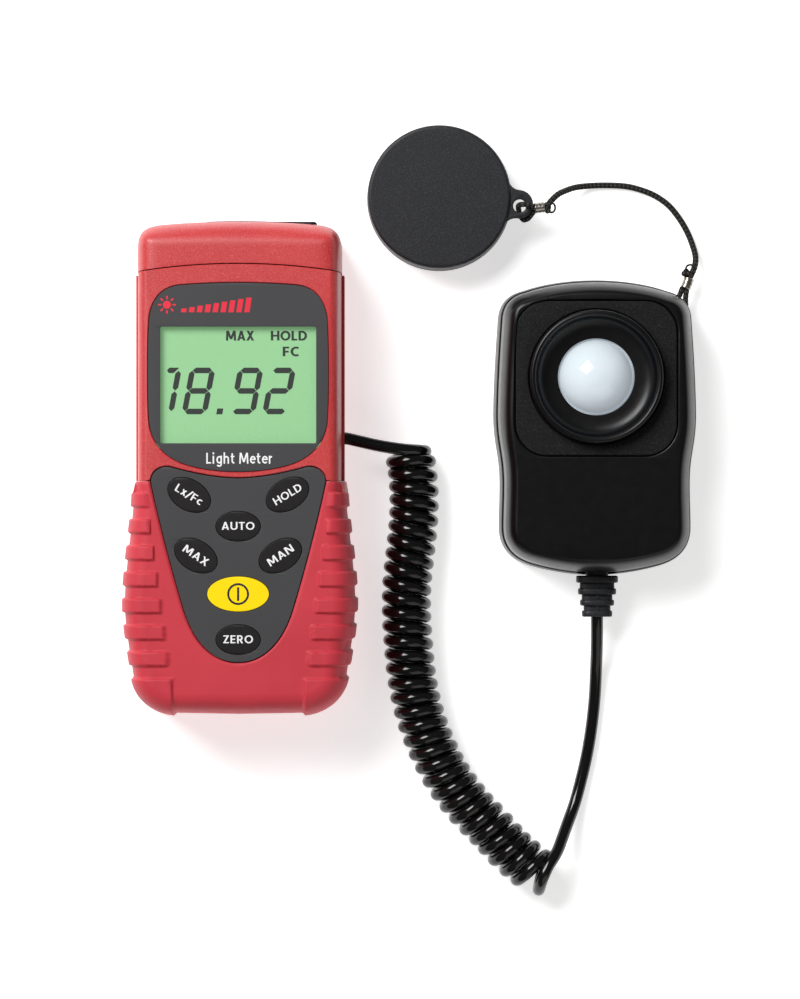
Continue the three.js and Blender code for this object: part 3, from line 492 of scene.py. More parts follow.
def inset(loop, distance, closed=True):
    """The loop, running anticlockwise, moved towards its inside."""
    if closed:
        before, after = np.roll(loop, 1, axis=0), np.roll(loop, -1, axis=0)
    else:
        before = np.concatenate([loop[:1], loop[:-1]])
        after = np.concatenate([loop[1:], loop[-1:]])
    along = after - before
    along /= np.linalg.norm(along, axis=1)[:, None]
    return loop + distance * np.stack([-along[:, 1], along[:, 0]], axis=1)


def at(loop, z):
    """A flat loop lifted to a height."""
    return np.column_stack([loop, np.full(len(loop), float(z))])


def round_rect(x0, x1, y0, y1, corner, steps=8):
    """An anticlockwise rectangle with round corners."""
    points = []
    middles = ((x1 - corner, y1 - corner), (x0 + corner, y1 - corner),
               (x0 + corner, y0 + corner), (x1 - corner, y0 + corner))
    for quarter, (cx, cy) in enumerate(middles):
        for k in range(steps + 1):
            angle = math.pi / 2 * (quarter + k / steps)
            points.append((cx + corner * math.cos(angle), cy + corner * math.sin(angle)))
    return np.array(points)


def ellipse(x, y, a, b, turn=0.0, count=64):
    angles = np.arange(count) * 2 * math.pi / count
    c, s = math.cos(math.radians(turn)), math.sin(math.radians(turn))
    u, v = a * np.cos(angles), b * np.sin(angles)
    return np.column_stack([x + u * c - v * s, y + u * s + v * c])


def circle(x, y, radius, count=48):
    return ellipse(x, y, radius, radius, 0, count)


def smooth_profile(pairs, step=0.6):
    """A smooth curve through profile points, as (height, inset) pairs."""
    line = smooth_line([(a, b, 0) for a, b in pairs], step)
    return [(float(a), float(b)) for a, b, _ in line]


class Skin:
    """A closed surface put together from loops, walls between them and flat fills."""

    def __init__(self):
        self.points = []
        self.faces = []

    def loop(self, points):
        first = len(self.points)
        self.points.extend(np.array(points, float))
        return list(range(first, first + len(points)))

    def wall(self, low, high, closed=True):
        count = len(low)
        for k in range(count if closed else count - 1):
            m = (k + 1) % count
            self.faces.append((low[k], low[m], high[m], high[k]))

    def walls(self, rings, closed=True):
        """Joins rings of points in order and gives back the first and last loop."""
        loops = [self.loop(ring) for ring in rings]
        for low, high in zip(loops, loops[1:]):
            self.wall(low, high, closed)
        return loops[0], loops[-1]

    def fill(self, outer, *holes):
        """Fills a loop, leaving holes open."""
        every = [*outer]
        for hole in holes:
            every += hole
        lines = [[Vector(self.points[k]) for k in group] for group in (outer, *holes)]
        flat = min(range(3), key=lambda a: np.ptp([self.points[k][a] for k in every]))
        if flat != 2:
            order = [a for a in range(3) if a != flat]
            lines = [[Vector((p[order[0]], p[order[1]], 0)) for p in line] for line in lines]
        for a, b, c in tessellate_polygon(lines):
            self.faces.append((every[a], every[b], every[c]))

    def piece(self, name, material, body, sharp=35.0):
        mesh = bpy.data.meshes.new(name)
        mesh.from_pydata([(p * MM).tolist() for p in self.points], [], self.faces)
        edit = bmesh.new()
        edit.from_mesh(mesh)
        bmesh.ops.remove_doubles(edit, verts=edit.verts, dist=1e-6)
        bmesh.ops.recalc_face_normals(edit, faces=edit.faces)
        edit.to_mesh(mesh)
        edit.free()
        mesh.materials.append(material)
        mesh.shade_smooth()
        mesh.set_sharp_from_angle(angle=math.radians(sharp))
        made = bpy.data.objects.new(name, mesh)
        scene.collection.objects.link(made)
        even = made.modifiers.new("even", "WEIGHTED_NORMAL")
        even.keep_sharp = True
        if body:
            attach(made, body)
        return made


def stands_for(made, slot, *nodes):
    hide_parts(*nodes)
    return made


def plate(skin, outer, z0, z1, holes=(), edge=0.15):
    """A flat plate with softened edges, and holes given as loops running anticlockwise."""
    low, high = skin.walls([
        at(inset(outer, edge), z0), at(outer, z0 + edge),
        at(outer, z1 - edge), at(inset(outer, 0.3 * edge), z1 - 0.3 * edge),
        at(inset(outer, edge), z1),
    ])
    lows, highs = [], []
    for hole in holes:
        first, last = skin.walls([
            at(inset(hole, -edge), z0), at(hole, z0 + edge), at(hole, z1 - edge),
            at(inset(hole, -0.3 * edge), z1 - 0.3 * edge), at(inset(hole, -edge), z1),
        ])
        lows.append(first)
        highs.append(last)
    skin.fill(low, *lows)
    skin.fill(high, *highs)


def screw_wells(skin, places, profile):
    """Round wells at places from a profile of (radius, height), closed at the far end."""
    mouths = []
    for x, y in places:
        mouth, end = skin.walls([at(circle(x, y, radius), z) for radius, z in profile])
        skin.fill(end)
        mouths.append(mouth)
    return mouths


def turned(skin, x, y, profile, count=96):
    """A shape turned about a vertical axis from a closed profile of (radius, height)."""
    rings = [skin.loop(at(circle(x, y, radius, count), z)) for radius, z in profile]
    for low, high in zip(rings, rings[1:] + rings[:1]):
        skin.wall(low, high)


def pillar(skin, x, y, profile, count=48):
    """A solid turned shape, from the foot's (radius, height) to the top's."""
    low, high = skin.walls([at(circle(x, y, radius, count), z) for radius, z in profile])
    skin.fill(low)
    skin.fill(high)

# ---- Meter case ---------------------------------------------------------------------------

CASE_HALF_WIDTH = 28.0
FACE_Z = 36.5
FRONT_FOOT = 17.35
REAR_RIM = 17.05
WELL_FLOOR = 1.85
CAP_HALF_WIDTH = 27.3
BOOT_TOP_Y = -3.5
BAND_TOP_Y = 51.9
SEAM_GAP = 0.3
WALL = 2.0

METER_LEFT = outline(
    (0, 66.3), (-8, 66.2, -15, 65.95, -21.2, 65.3),
    (-25.6, 64.8, 0.15 - CAP_HALF_WIDTH, 63.2, -CAP_HALF_WIDTH, 59), (-CASE_HALF_WIDTH, 0),
    (-28, -12, -30.6, -24, -30.8, -35), (-30.95, -42, -29.3, -49.5, -28.3, -56.6),
    (-27.3, -61.6, -22.5, -65.2, -17, -65.5), (0, -65.8), count=24,
)
BEZEL = mirrored(outline(
    (0, 49.2), (-5.1, 49.2, -10.2, 49, -15.2, 48.6), (-20.3, 48.2, -23, 44.8, -23.6, 39.7),
    (-24.1, 31.6, -24.1, 19.4, -23.6, 12.3), (-23, 6.2, -18.8, 2.4, -13.2, 0.8),
    (-9.1, -0.4, -4.6, -0.9, 0, -0.9), count=20,
))
SHIELD_LEFT = outline(
    (0, -2.4), (-6.1, -2.4, -12.7, -0.9, -17.8, 0.5), (-20.8, 1.2, -23.7, -0.8, -23.4, -3.9),
    (-21.5, -13.1, -17.3, -29.3, -14.4, -38.5), (-11.7, -46.6, -6.6, -51.8, 0, -51.8), count=24,
)
shield_top_left = SHIELD_LEFT[SHIELD_LEFT[:, 1] > BOOT_TOP_Y + 0.2]
SHIELD_TOP = np.concatenate([shield_top_left[::-1], shield_top_left[1:] * (-1, 1)])
WINDOW = round_rect(-20.7, 20.7, 6.65, 37.6, 0.5, 4)
WINDOW_SEAT = round_rect(-22, 22, 5.2, 39, 0.6, 4)


def seam_y(x):
    """The curved joint between the case and its end cap."""
    return 54.4 - 2 * (x / 26) ** 2


def upper_ring(inset_x, inset_y, band_top=None, notched=False):
    """The case above the boot: straight sides, a curved upper edge and the keypad's notch."""
    side = CASE_HALF_WIDTH - inset_x
    neck = CAP_HALF_WIDTH - inset_x
    foot = BOOT_TOP_Y + 0.15 + inset_y
    upper = side if band_top is None else neck
    xs = np.linspace(upper, -upper, 33)
    top = [(x, seam_y(x) - SEAM_GAP / 2 - inset_y) for x in xs]
    left = [(-side, y) for y in np.linspace(band_top or top[-1][1], foot, 12)]
    right = [(side, y) for y in np.linspace(foot, band_top or top[0][1], 12)]
    if band_top is None:
        left, right = left[1:], right[:-1]
    else:
        left = [(-neck, band_top), *left]
        right = [*right, (neck, band_top)]
    bottom = SHIELD_TOP + (0, inset_y) if notched else [(0, foot)]
    return np.concatenate([top, left, bottom, right])


FRONT_PROFILE = smooth_profile([
    (FRONT_FOOT, 0.75), (25, 0.9), (31, 1.2), (33.6, 1.45), (34.9, 1.8), (35.7, 2.3), (36.25, 2.95),
    (FACE_Z, 3.8),
])
grip_left = METER_LEFT[METER_LEFT[:, 1] < 14]
GRIP = mirrored(np.concatenate([[[0, BOOT_TOP_Y - 0.4], [-28, BOOT_TOP_Y - 0.4]],
                                grip_left[grip_left[:, 1] < BOOT_TOP_Y - 0.4]]))
GRIP_CORE = even_loop(inset(even_loop(GRIP, 260), 2.1), 260)

KEYS = {
    "units": (-13, -7.1, 6.1, 4.05, -30), "hold": (13.1, -7, 6.1, 4.05, 30),
    "auto": (0, -15.4, 5.9, 3.95, 0), "max": (-11.2, -23.2, 6.1, 4.05, -30),
    "man": (11.2, -23.2, 6.1, 4.05, 30), "power": (0, -33.4, 8.2, 4.65, 0),
    "zero": (0, -45.5, 5.9, 3.95, 0),
}

front = Skin()
rings = [at(upper_ring(d, 0, notched=True), z) for z, d in FRONT_PROFILE[:-1]]
rings.append(at(upper_ring(FRONT_PROFILE[-1][1], 0.2, notched=True), FACE_Z))
foot, top = front.walls(rings)
bezel_hole = inset(BEZEL, -0.15)
lip, floor_edge = front.walls([at(inset(bezel_hole, -0.2), FACE_Z), at(bezel_hole, 36.25),
                               at(bezel_hole, 35.4)])
seat, ceiling_hole = front.walls([at(WINDOW_SEAT, 35.4), at(WINDOW_SEAT, 33.5)])
ceiling, hollow_foot = front.walls([
    at(upper_ring(4.2, WALL, notched=True), 33.5), at(upper_ring(2.9, WALL, notched=True), FRONT_FOOT),
])
front.fill(top, lip)
front.fill(floor_edge, seat)
front.fill(ceiling, ceiling_hole)
front.fill(foot, hollow_foot)
DECK = np.concatenate([SHIELD_TOP[::-1] - (0, 0.05), GRIP_CORE[GRIP_CORE[:, 1] < -6.5]])
plate(front, DECK, 32.6, 34.6, [
    ellipse(x, y, a + 1.1, b + 1.1, turn) for x, y, a, b, turn in KEYS.values()
])
skirt_low, skirt_high = front.walls([at(GRIP_CORE, FRONT_FOOT), at(GRIP_CORE, 32.7)])
inner_low, inner_high = front.walls([at(inset(GRIP_CORE, 1.6), FRONT_FOOT), at(inset(GRIP_CORE, 1.6), 32.7)])
front.fill(skirt_low, inner_low)
front.fill(skirt_high, inner_high)
stands_for(front.piece("front_case_shell", red_case, "meter"), "red_case", "front_case")

REAR_PROFILE = smooth_profile([(0, 3.5), (0.35, 2.2), (1.5, 1), (3, 0.35), (5, 0), (11, 0),
                               (REAR_RIM, 0)])
UPPER_SCREWS = ((-21.5, 47), (21.5, 47))
LOWER_SCREWS = ((-21.5, -50), (21.5, -50))
DOOR_OPENING = round_rect(-15, 15, -59, -6, 1.4)

rear = Skin()
rings = [at(upper_ring(d, 0, BAND_TOP_Y), z) for z, d in REAR_PROFILE]
back, rim = rear.walls(rings)
inner_back, inner_rim = rear.walls([at(upper_ring(WALL + 1, WALL, BAND_TOP_Y - 1), WALL),
                                    at(upper_ring(WALL, WALL, BAND_TOP_Y - 1), REAR_RIM)])
rear.fill(back, *screw_wells(rear, UPPER_SCREWS, [(3.3, 0), (3, 0.3), (3, WELL_FLOOR)]))
rear.fill(inner_back)
rear.fill(rim, inner_rim)
core_back, core_rim = rear.walls([
    at(inset(GRIP_CORE, 1.2), 1.7), at(inset(GRIP_CORE, 0.3), 2.1), at(GRIP_CORE, 3.2),
    at(GRIP_CORE, REAR_RIM),
])
hole_low, hole_high = rear.walls([at(inset(DOOR_OPENING, 1), 1.7), at(inset(DOOR_OPENING, 1), 3.4)])
tray_low, tray_rim = rear.walls([at(inset(GRIP_CORE, 2.8), 3.4), at(inset(GRIP_CORE, 1.6), REAR_RIM)])
rear.fill(core_back, hole_low, *screw_wells(rear, LOWER_SCREWS, [(3, 1.7), (3, 3.2)]))
rear.fill(tray_low, hole_high)
rear.fill(core_rim, tray_rim)
stands_for(rear.piece("rear_case_shell", red_case, "meter"), "red_case", "rear_case")

END_CAP_PROFILE = smooth_profile([
    (0, 3), (0.4, 1.9), (1.5, 0.9), (3, 0.3), (5, 0), (7, 0), (9, 0), (15, 0), (26, 0.15), (31, 0.55),
    (33.6, 1.1), (34.9, 1.7), (35.7, 2.5), (36.2, 3.6), (36.42, 4.9), (FACE_Z, 6.5),
])
END_ROUNDING = 0.7
cap_left = METER_LEFT[METER_LEFT[:, 1] > 58.5]
cap_side = outline(cap_left[-1], (-CAP_HALF_WIDTH, 52.4))
cap_open = np.concatenate([cap_left[::-1] * (-1, 1), cap_left[1:]])
cap_open = np.concatenate([cap_side[:0:-1] * (-1, 1), cap_open, cap_side[1:]])


def cap_ring(distance, edge):
    """The end cap's outline, closed along the curved joint."""
    arch = inset(cap_open, distance, closed=False)
    facing_up = np.clip((arch[:, 1] - 58) / 6, 0, 1) ** 2
    arch[:, 1] -= END_ROUNDING * distance * facing_up
    arch[0][1] = seam_y(arch[0][0]) + SEAM_GAP / 2 + edge
    arch[-1][1] = seam_y(arch[-1][0]) + SEAM_GAP / 2 + edge
    xs = np.linspace(arch[-1][0], arch[0][0], 33)[1:-1]
    joint = [(x, seam_y(x) + SEAM_GAP / 2 + edge) for x in xs]
    return np.concatenate([arch, joint])


end_cap = Skin()
rings = [at(cap_ring(d, 0), z) for z, d in END_CAP_PROFILE[1:-1]]
rings = [at(cap_ring(3, 0.2), 0), *rings, at(cap_ring(6.5, 0.2), FACE_Z)]
low, high = end_cap.walls(rings)
end_cap.fill(low)
end_cap.fill(high)
stands_for(end_cap.piece("end_cap_shell", red_case, "meter"), "red_case", "top_end_cap")


# ---- Rubber boot --------------------------------------------------------------------------

RIB_COUNT = 7
RIB_Y = -8.4
RIB_PITCH = 7.04
RIB_HALF = 1.8
RIB_RISE = 0.8
BUMPER_X = 17.45
BUMPER_Y = -56.0
BOOT_FACE_Z = 36.6
BOOT_INSIDE = [(34.9, 5), (33, 2.1), (28, 1.85), (6, 1.8), (2.6, 2.4), (1.4, 4.4)]
BOOT_PROFILE = smooth_profile([
    (0, 3.5), (0.35, 2.3), (1.5, 1), (3, 0.35), (5, 0), (14, 0), (24, 0.1), (29, 0.45),
    (32.5, 1.05), (34.5, 1.9), (35.8, 3.1), (36.4, 4.3), (36.6, 5.6),
], 0.8)


def step_up(value, width):
    """0 below zero, 1 above width, smooth between."""
    share = np.clip(value / width, 0, 1)
    return share * share * (3 - 2 * share)


def boot_columns():
    """Matching points on the boot's outline and on the keypad's edge, left seam to right."""
    low = np.argmax(METER_LEFT[:, 1] < -8)
    side_y = np.arange(BOOT_TOP_Y, -50.01, -0.3)
    order = np.argsort(METER_LEFT[:, 1])
    outer_x = np.interp(side_y, METER_LEFT[order, 1], METER_LEFT[order, 0])
    shield = SHIELD_LEFT[np.argmin(SHIELD_LEFT[:, 0]):]
    order = np.argsort(shield[:, 1])
    inner_x = np.interp(side_y, shield[order, 1], shield[order, 0])
    corner = METER_LEFT[low:][METER_LEFT[low:, 1] < side_y[-1] - 0.05]
    corner = np.concatenate([[[outer_x[-1], side_y[-1]]], corner])
    bottom = even_steps(at(corner, 0), 0.4)[1:, :2]
    edge = np.concatenate([[[inner_x[-1], side_y[-1]]], shield[shield[:, 1] < side_y[-1] - 0.05]])
    share = np.linspace(0, 1, len(bottom) + 1)[1:]
    edge = even_steps(at(edge, 0), 0.05)[:, :2]
    gone = np.linspace(0, 1, len(edge))
    inner = np.stack([np.interp(share, gone, edge[:, k]) for k in range(2)], axis=1)
    outer = np.concatenate([np.column_stack([outer_x, side_y]), bottom])
    inner = np.concatenate([np.column_stack([inner_x, side_y]), inner])
    outer = np.concatenate([outer, outer[-2::-1] * (-1, 1)])
    return outer, np.concatenate([inner, inner[-2::-1] * (-1, 1)])


def boot_relief(points):
    """Height of the ribs and corner bumpers at points, with softened rims."""
    x, y, z = np.abs(points[..., 0]), points[..., 1], points[..., 2]
    high = step_up(z - 1.2, 2.0)
    relief = np.zeros(x.shape)
    for k in range(RIB_COUNT):
        rib = step_up(RIB_HALF + 0.3 - np.abs(y - RIB_Y + RIB_PITCH * k), 0.45)
        relief += rib * step_up(x - 24 + 0.93 * k, 0.55)
    slant = 0.05 * (y + 61)
    relief += step_up(BUMPER_Y + 0.3 - y, 0.5) * step_up(x - BUMPER_X - slant + 0.3, 0.6)
    return RIB_RISE * relief * high


outer, inner = boot_columns()
room = np.linalg.norm(outer - inner, axis=1)
squeeze = np.minimum(1, (room - 0.6) / BOOT_PROFILE[-1][1])[:, None]
outward_rows = []
for z, distance in BOOT_PROFILE:
    moved = inset(outer, distance, closed=False) - outer
    scale = squeeze if z > 20 else 1
    outward_rows.append(at(outer + scale * moved, z))
face_edge = outward_rows[-1][:, :2]
upright = step_up(-54 - outer[:, 1], 10.0)[:, None]
bend = face_edge + 0.3 * (inner - face_edge)
bend = bend + upright * (face_edge + (0, 3.5) - bend)
for t in (*np.linspace(0, 1, 26)[1:-1], 0.975, 0.99, 1):
    row = (1 - t) ** 2 * face_edge + 2 * t * (1 - t) * bend + t * t * inner
    outward_rows.append(at(row, BOOT_FACE_Z))
grid = np.array(outward_rows)
along = np.gradient(grid, axis=1)
across = np.gradient(grid, axis=0)
normals = np.cross(along, across)
normals /= np.maximum(np.linalg.norm(normals, axis=2), 1e-9)[..., None]
to_edge = np.linalg.norm(grid[..., :2] - inner[None], axis=2)
rim_drop = 0.3 * (1 - step_up(BOOT_TOP_Y - grid[..., 1], 0.6))
edge_drop = 0.3 * (1 - step_up(to_edge, 0.5)) * (grid[..., 2] > 36)
grid = grid + normals * (boot_relief(grid) - np.maximum(rim_drop, edge_drop))[..., None]
grid[:, (0, -1), 1] = BOOT_TOP_Y

boot = Skin()
back, face_rim = boot.walls(grid, closed=False)
inner_rows = [at(inner, 34.9)]
inner_rows += [at(inset(outer, distance, closed=False), z) for z, distance in BOOT_INSIDE[1:]]
rim_low, inner_back = boot.walls(inner_rows, closed=False)
boot.wall(face_rim, rim_low, closed=False)
hole_back, hole_inside = boot.walls([at(inset(DOOR_OPENING, -0.25), 0), at(DOOR_OPENING, 0.25),
                                     at(DOOR_OPENING, 1.4)])
wells = []
inside_wells = []
for x, y in LOWER_SCREWS:
    low, high = boot.walls([at(circle(x, y, 3.4), 0), at(circle(x, y, 3.1), 0.3),
                            at(circle(x, y, 3.1), 1.4)])
    wells.append(low)
    inside_wells.append(high)
boot.fill(back, hole_back, *wells)
boot.fill(inner_back, hole_inside, *inside_wells)
width = len(outer)
rows = len(grid)
left = [k * width for k in range(rows)]
right = [k * width + width - 1 for k in range(rows)]
first_inner = rows * width
inner_left = [first_inner + k * width for k in range(len(inner_rows))]
inner_right = [first_inner + k * width + width - 1 for k in range(len(inner_rows))]
boot.fill(left[::-1] + right + inner_right + inner_left[::-1])
stands_for(boot.piece("grip_boot_skin", red_rubber, "meter", 60), "red_rubber", "grip_boot")

# ---- Display and keypad -------------------------------------------------------------------

PRINT_HEIGHT = 0.03
STROKE_LIFT = 0.002


def printed(name, strokes, material, body, z):
    """Thin prints of convex outlines on a surface, each stroke a hair above the one before."""
    points, faces = [], []
    for level, stroke in enumerate(strokes):
        top = z + PRINT_HEIGHT + level * STROKE_LIFT
        for shape in stroke:
            x, y = np.array(shape, float).T
            turning = np.dot(x, np.roll(y, -1)) - np.dot(y, np.roll(x, -1))
            ring = np.array(shape if turning > 0 else shape[::-1])
            first, count = len(points), len(ring)
            points += [*at(ring, z - PRINT_HEIGHT), *at(ring, top)]
            low = list(range(first, first + count))
            high = list(range(first + count, first + 2 * count))
            faces += [tuple(reversed(low)), tuple(high)]
            faces += [(low[k - 1], low[k], high[k], high[k - 1]) for k in range(count)]
    return add_mesh(name, points, faces, material, body, smooth=False)


def ring_shapes(x, y, radius, line, count=40):
    """A drawn circle, as short quadrilaterals."""
    outside, inside = circle(x, y, radius, count), circle(x, y, radius - line, count)
    return [[inside[k], outside[k], outside[(k + 1) % count], inside[(k + 1) % count]]
            for k in range(count)]


STEM = 0.095
LETTER_GAP = 0.1


def alphabet(weight):
    """Advance and strokes of each letter, for a cap height of 1 and a stroke weight."""

    def slab(x0, y0, x1, y1):
        """A straight stroke whose ends are cut level."""
        half = weight / 2 * math.hypot(x1 - x0, y1 - y0) / abs(y1 - y0)
        return [[[(x0 - half, y0), (x0 + half, y0), (x1 + half, y1), (x1 - half, y1)]]]

    def beam(x0, x1, y):
        half = weight * 0.44
        return [[[(x0, y - half), (x1, y - half), (x1, y + half), (x0, y + half)]]]

    def bow(x, y, a, b, start, end, count=20):
        """Part of an ellipse, anticlockwise between two angles in degrees."""
        angles = np.radians(np.linspace(start, end, count + 1))
        rims = [[(x + (a + side) * math.cos(t), y + (b + side) * math.sin(t)) for t in angles]
                for side in (-weight / 2, weight / 2)]
        inside, outside = rims
        return [[[inside[k], outside[k], outside[k + 1], inside[k + 1]] for k in range(count)]]

    stem = slab(STEM, 0, STEM, 1)
    short_stem = slab(STEM, 0, STEM, 0.73)
    top, foot = 0.915, 0.085
    return {
        " ": (0.2, []),
        "/": (0.36, slab(-0.02, -0.1, 0.36, 1.08)),
        "A": (0.74, slab(0.1, 0, 0.37, 1) + slab(0.64, 0, 0.37, 1) + beam(0.2, 0.54, 0.27)),
        "C": (0.62, bow(0.42, 0.5, 0.33, 0.415, 55, 305)),
        "D": (0.7, stem + beam(0.1, 0.32, top) + beam(0.1, 0.32, foot)
              + bow(0.29, 0.5, 0.33, 0.415, -90, 90)),
        "E": (0.54, stem + beam(0.1, 0.5, top) + beam(0.1, 0.46, 0.5) + beam(0.1, 0.5, foot)),
        "F": (0.52, stem + beam(0.1, 0.5, top) + beam(0.1, 0.46, 0.48)),
        "H": (0.72, stem + slab(0.625, 0, 0.625, 1) + beam(0.1, 0.62, 0.5)),
        "L": (0.5, stem + beam(0.1, 0.48, foot)),
        "M": (0.92, slab(STEM, 0, 0.14, 1) + slab(0.825, 0, 0.78, 1) + slab(0.46, 0.14, 0.17, 1)
              + slab(0.46, 0.14, 0.75, 1)),
        "N": (0.74, stem + slab(0.645, 0, 0.645, 1) + slab(0.61, 0, 0.13, 1)),
        "O": (0.84, bow(0.42, 0.5, 0.33, 0.415, 0, 360, 36)),
        "R": (0.62, stem + beam(0.1, 0.32, top) + beam(0.1, 0.32, 0.44)
              + bow(0.3, 0.68, 0.18, 0.24, -90, 90) + slab(0.52, 0, 0.3, 0.46)),
        "T": (0.58, slab(0.29, 0, 0.29, 1) + beam(0, 0.58, top)),
        "U": (0.7, slab(STEM, 0.32, STEM, 1) + slab(0.605, 0.32, 0.605, 1)
              + bow(0.35, 0.33, 0.255, 0.245, 180, 360)),
        "X": (0.68, slab(0.1, 0, 0.56, 1) + slab(0.58, 0, 0.12, 1)),
        "Z": (0.6, beam(0.03, 0.57, top) + beam(0.02, 0.58, foot) + slab(0.13, 0.08, 0.47, 0.92)),
        "c": (0.46, bow(0.31, 0.365, 0.22, 0.28, 58, 302)),
        "e": (0.54, bow(0.3, 0.365, 0.215, 0.28, 20, 318) + beam(0.12, 0.57, 0.4)),
        "g": (0.58, bow(0.29, 0.365, 0.2, 0.28, 30, 330) + slab(0.48, -0.02, 0.48, 0.73)
              + bow(0.29, -0.02, 0.19, 0.19, 205, 360)),
        "h": (0.58, slab(STEM, 0, STEM, 1.04) + slab(0.47, 0, 0.47, 0.45)
              + bow(0.285, 0.44, 0.185, 0.2, 0, 170)),
        "i": (0.26, short_stem + slab(STEM, 0.86, STEM, 1.04)),
        "r": (0.38, short_stem + bow(0.3, 0.42, 0.2, 0.22, 80, 160, 8)),
        "t": (0.4, slab(0.16, 0.25, 0.16, 0.95) + beam(0.02, 0.37, 0.66)
              + bow(0.33, 0.25, 0.17, 0.165, 180, 280, 8)),
        "x": (0.54, slab(0.1, 0, 0.42, 0.73) + slab(0.44, 0, 0.12, 0.73)),
    }


def label(name, text, x, y, z, width, height, material, body, turn=0.0, weight=0.155):
    """Bold lettering fitted to a width and height about its centre."""
    letters = alphabet(weight)
    strokes = []
    reach = 0.0
    for letter in text:
        advance, parts = letters[letter]
        strokes += [[np.array(shape) + (reach, 0) for shape in part] for part in parts]
        reach += advance + LETTER_GAP
    every = np.concatenate([shape for stroke in strokes for shape in stroke])
    low, high = every.min(axis=0), every.max(axis=0)
    angle = math.radians(turn)
    c, s = math.cos(angle), math.sin(angle)
    scale = (width, height) / (high - low)
    spin = np.array([[c, s], [-s, c]])
    placed = [[(shape - (low + high) / 2) * scale @ spin + (x, y) for shape in stroke]
              for stroke in strokes]
    return printed(name, placed, material, body, z)


print_white = moulded("print_white", "F4F4F4", "EFEFEF", 0.5, 3.0, 0.002)
print_red = moulded("print_red", "E8203A", "E01C36", 0.5, 3.0, 0.002)
print_navy = moulded("print_navy", "0C0B24", "0A0A20", 0.5, 3.0, 0.002)
segment_ink = moulded("segment_ink", "15221A", "142018", 0.6, 3.0, 0.001, 0.15)


def lcd_look_with_painted_glow():
    nodes = Nodes("lcd_green")
    nodes.set(Roughness=0.55, Specular_IOR_Level=0.3)
    fine = nodes.noise(3, 2)
    colour = nodes.mix(nodes.ramp(fine, 0.4, 0.6), srgb("75A474"), srgb("78A877"))
    nodes.colour(colour)
    # The display's colour also feeds its emission: a painted glow on a display without backlight, which
    # lightens it and the bezel's shade on it.
    nodes.link(colour, nodes.shader.inputs["Emission Color"])
    nodes.set(Emission_Strength=0.62)
    return nodes.material


def window_look():
    nodes = Nodes("clear_window")
    nodes.set(Roughness=0.03, Alpha=0.02, IOR=1.4)
    nodes.colour(nodes.mix(nodes.noise(0.3), (0.9, 0.92, 0.92), (1, 1, 1)))
    return nodes.material


lcd_green = lcd_look_with_painted_glow()
clear_window = window_look()

LCD_Z = 34.4
bezel = Skin()
plate(bezel, BEZEL, 35.7, FACE_Z, [WINDOW], edge=0.12)
stands_for(bezel.piece("bezel_plate", panel_grey, "meter"), "panel_grey", "display_bezel")
pane = Skin()
plate(pane, round_rect(-21.7, 21.7, 5.6, 38.5, 0.5), 34.6, 35.35, edge=0.08)
stands_for(pane.piece("window_pane", clear_window, "meter"), "clear_window", "display_window")
panel = Skin()
plate(panel, round_rect(-21.9, 21.9, 5.3, 38.9, 0.4), 31.4, LCD_Z, edge=0.1)
stands_for(panel.piece("lcd_glass", lcd_green, "meter"), "lcd_green", "lcd_panel")

DIGIT_WIDTH = 5.32
DIGIT_HALF = 5.455
DIGIT_FOOT = 15.11
DIGIT_SLANT = 0.188
STROKE = 1.46
NICK = 0.1


def bar(x0, y0, x1, y1):
    """One lit segment: a bar with pointed ends, between two corners of a digit."""
    along = np.array([x1 - x0, y1 - y0], float)
    length = np.linalg.norm(along)
    along /= length
    side = np.array([-along[1], along[0]]) * STROKE / 2
    start = np.array([x0, y0], float)
    half = STROKE / 2
    return [start + NICK * along, start + (NICK + half) * along - side,
            start + (length - NICK - half) * along - side, start + (length - NICK) * along,
            start + (length - NICK - half) * along + side, start + (NICK + half) * along + side]


def leaning(shape, left):
    return [(left + x + DIGIT_SLANT * y, DIGIT_FOOT + y) for x, y in shape]


w, h = DIGIT_WIDTH, DIGIT_HALF
SEGMENTS = {
    "a": bar(0, 2 * h, w, 2 * h), "b": bar(w, h, w, 2 * h), "c": bar(w, 0, w, h),
    "d": bar(0, 0, w, 0), "e": bar(0, 0, 0, h), "f": bar(0, h, 0, 2 * h), "g": bar(0, h, w, h),
    "flag": [(w - 3.1, 2 * h), (w - 2.5, 2 * h - 0.7), (w - 1.25, 2 * h - 0.7),
             (w - 0.1, 2 * h + 0.55), (w - 0.1, 2 * h + 0.73), (w - 2.6, 2 * h + 0.73)],
}
shapes = []
for left, lit in ((-23.24, ("flag", "b", "c")), (-14.28, "abcdefg"), (-1.51, "abcdfg"), (7.13, "abdeg")):
    shapes += [leaning(SEGMENTS[part], left) for part in lit]
shapes.append(leaning([(0, -0.75), (1.6, -0.75), (1.6, 0.78), (0, 0.78)], -5.75))
printed("lcd_digits", [shapes], segment_ink, "meter", LCD_Z + 0.05)
for name, text, x, y, width in (("lcd_max", "MAX", 0.43, 35.25, 7.5), ("lcd_hold", "HOLD", 13.44, 35.25, 9.6),
                                ("lcd_unit", "FC", 13.97, 31.05, 4.36)):
    label(name, text, x, y, LCD_Z + 0.05, width, 2.6, segment_ink, "meter",
          weight=0.2)

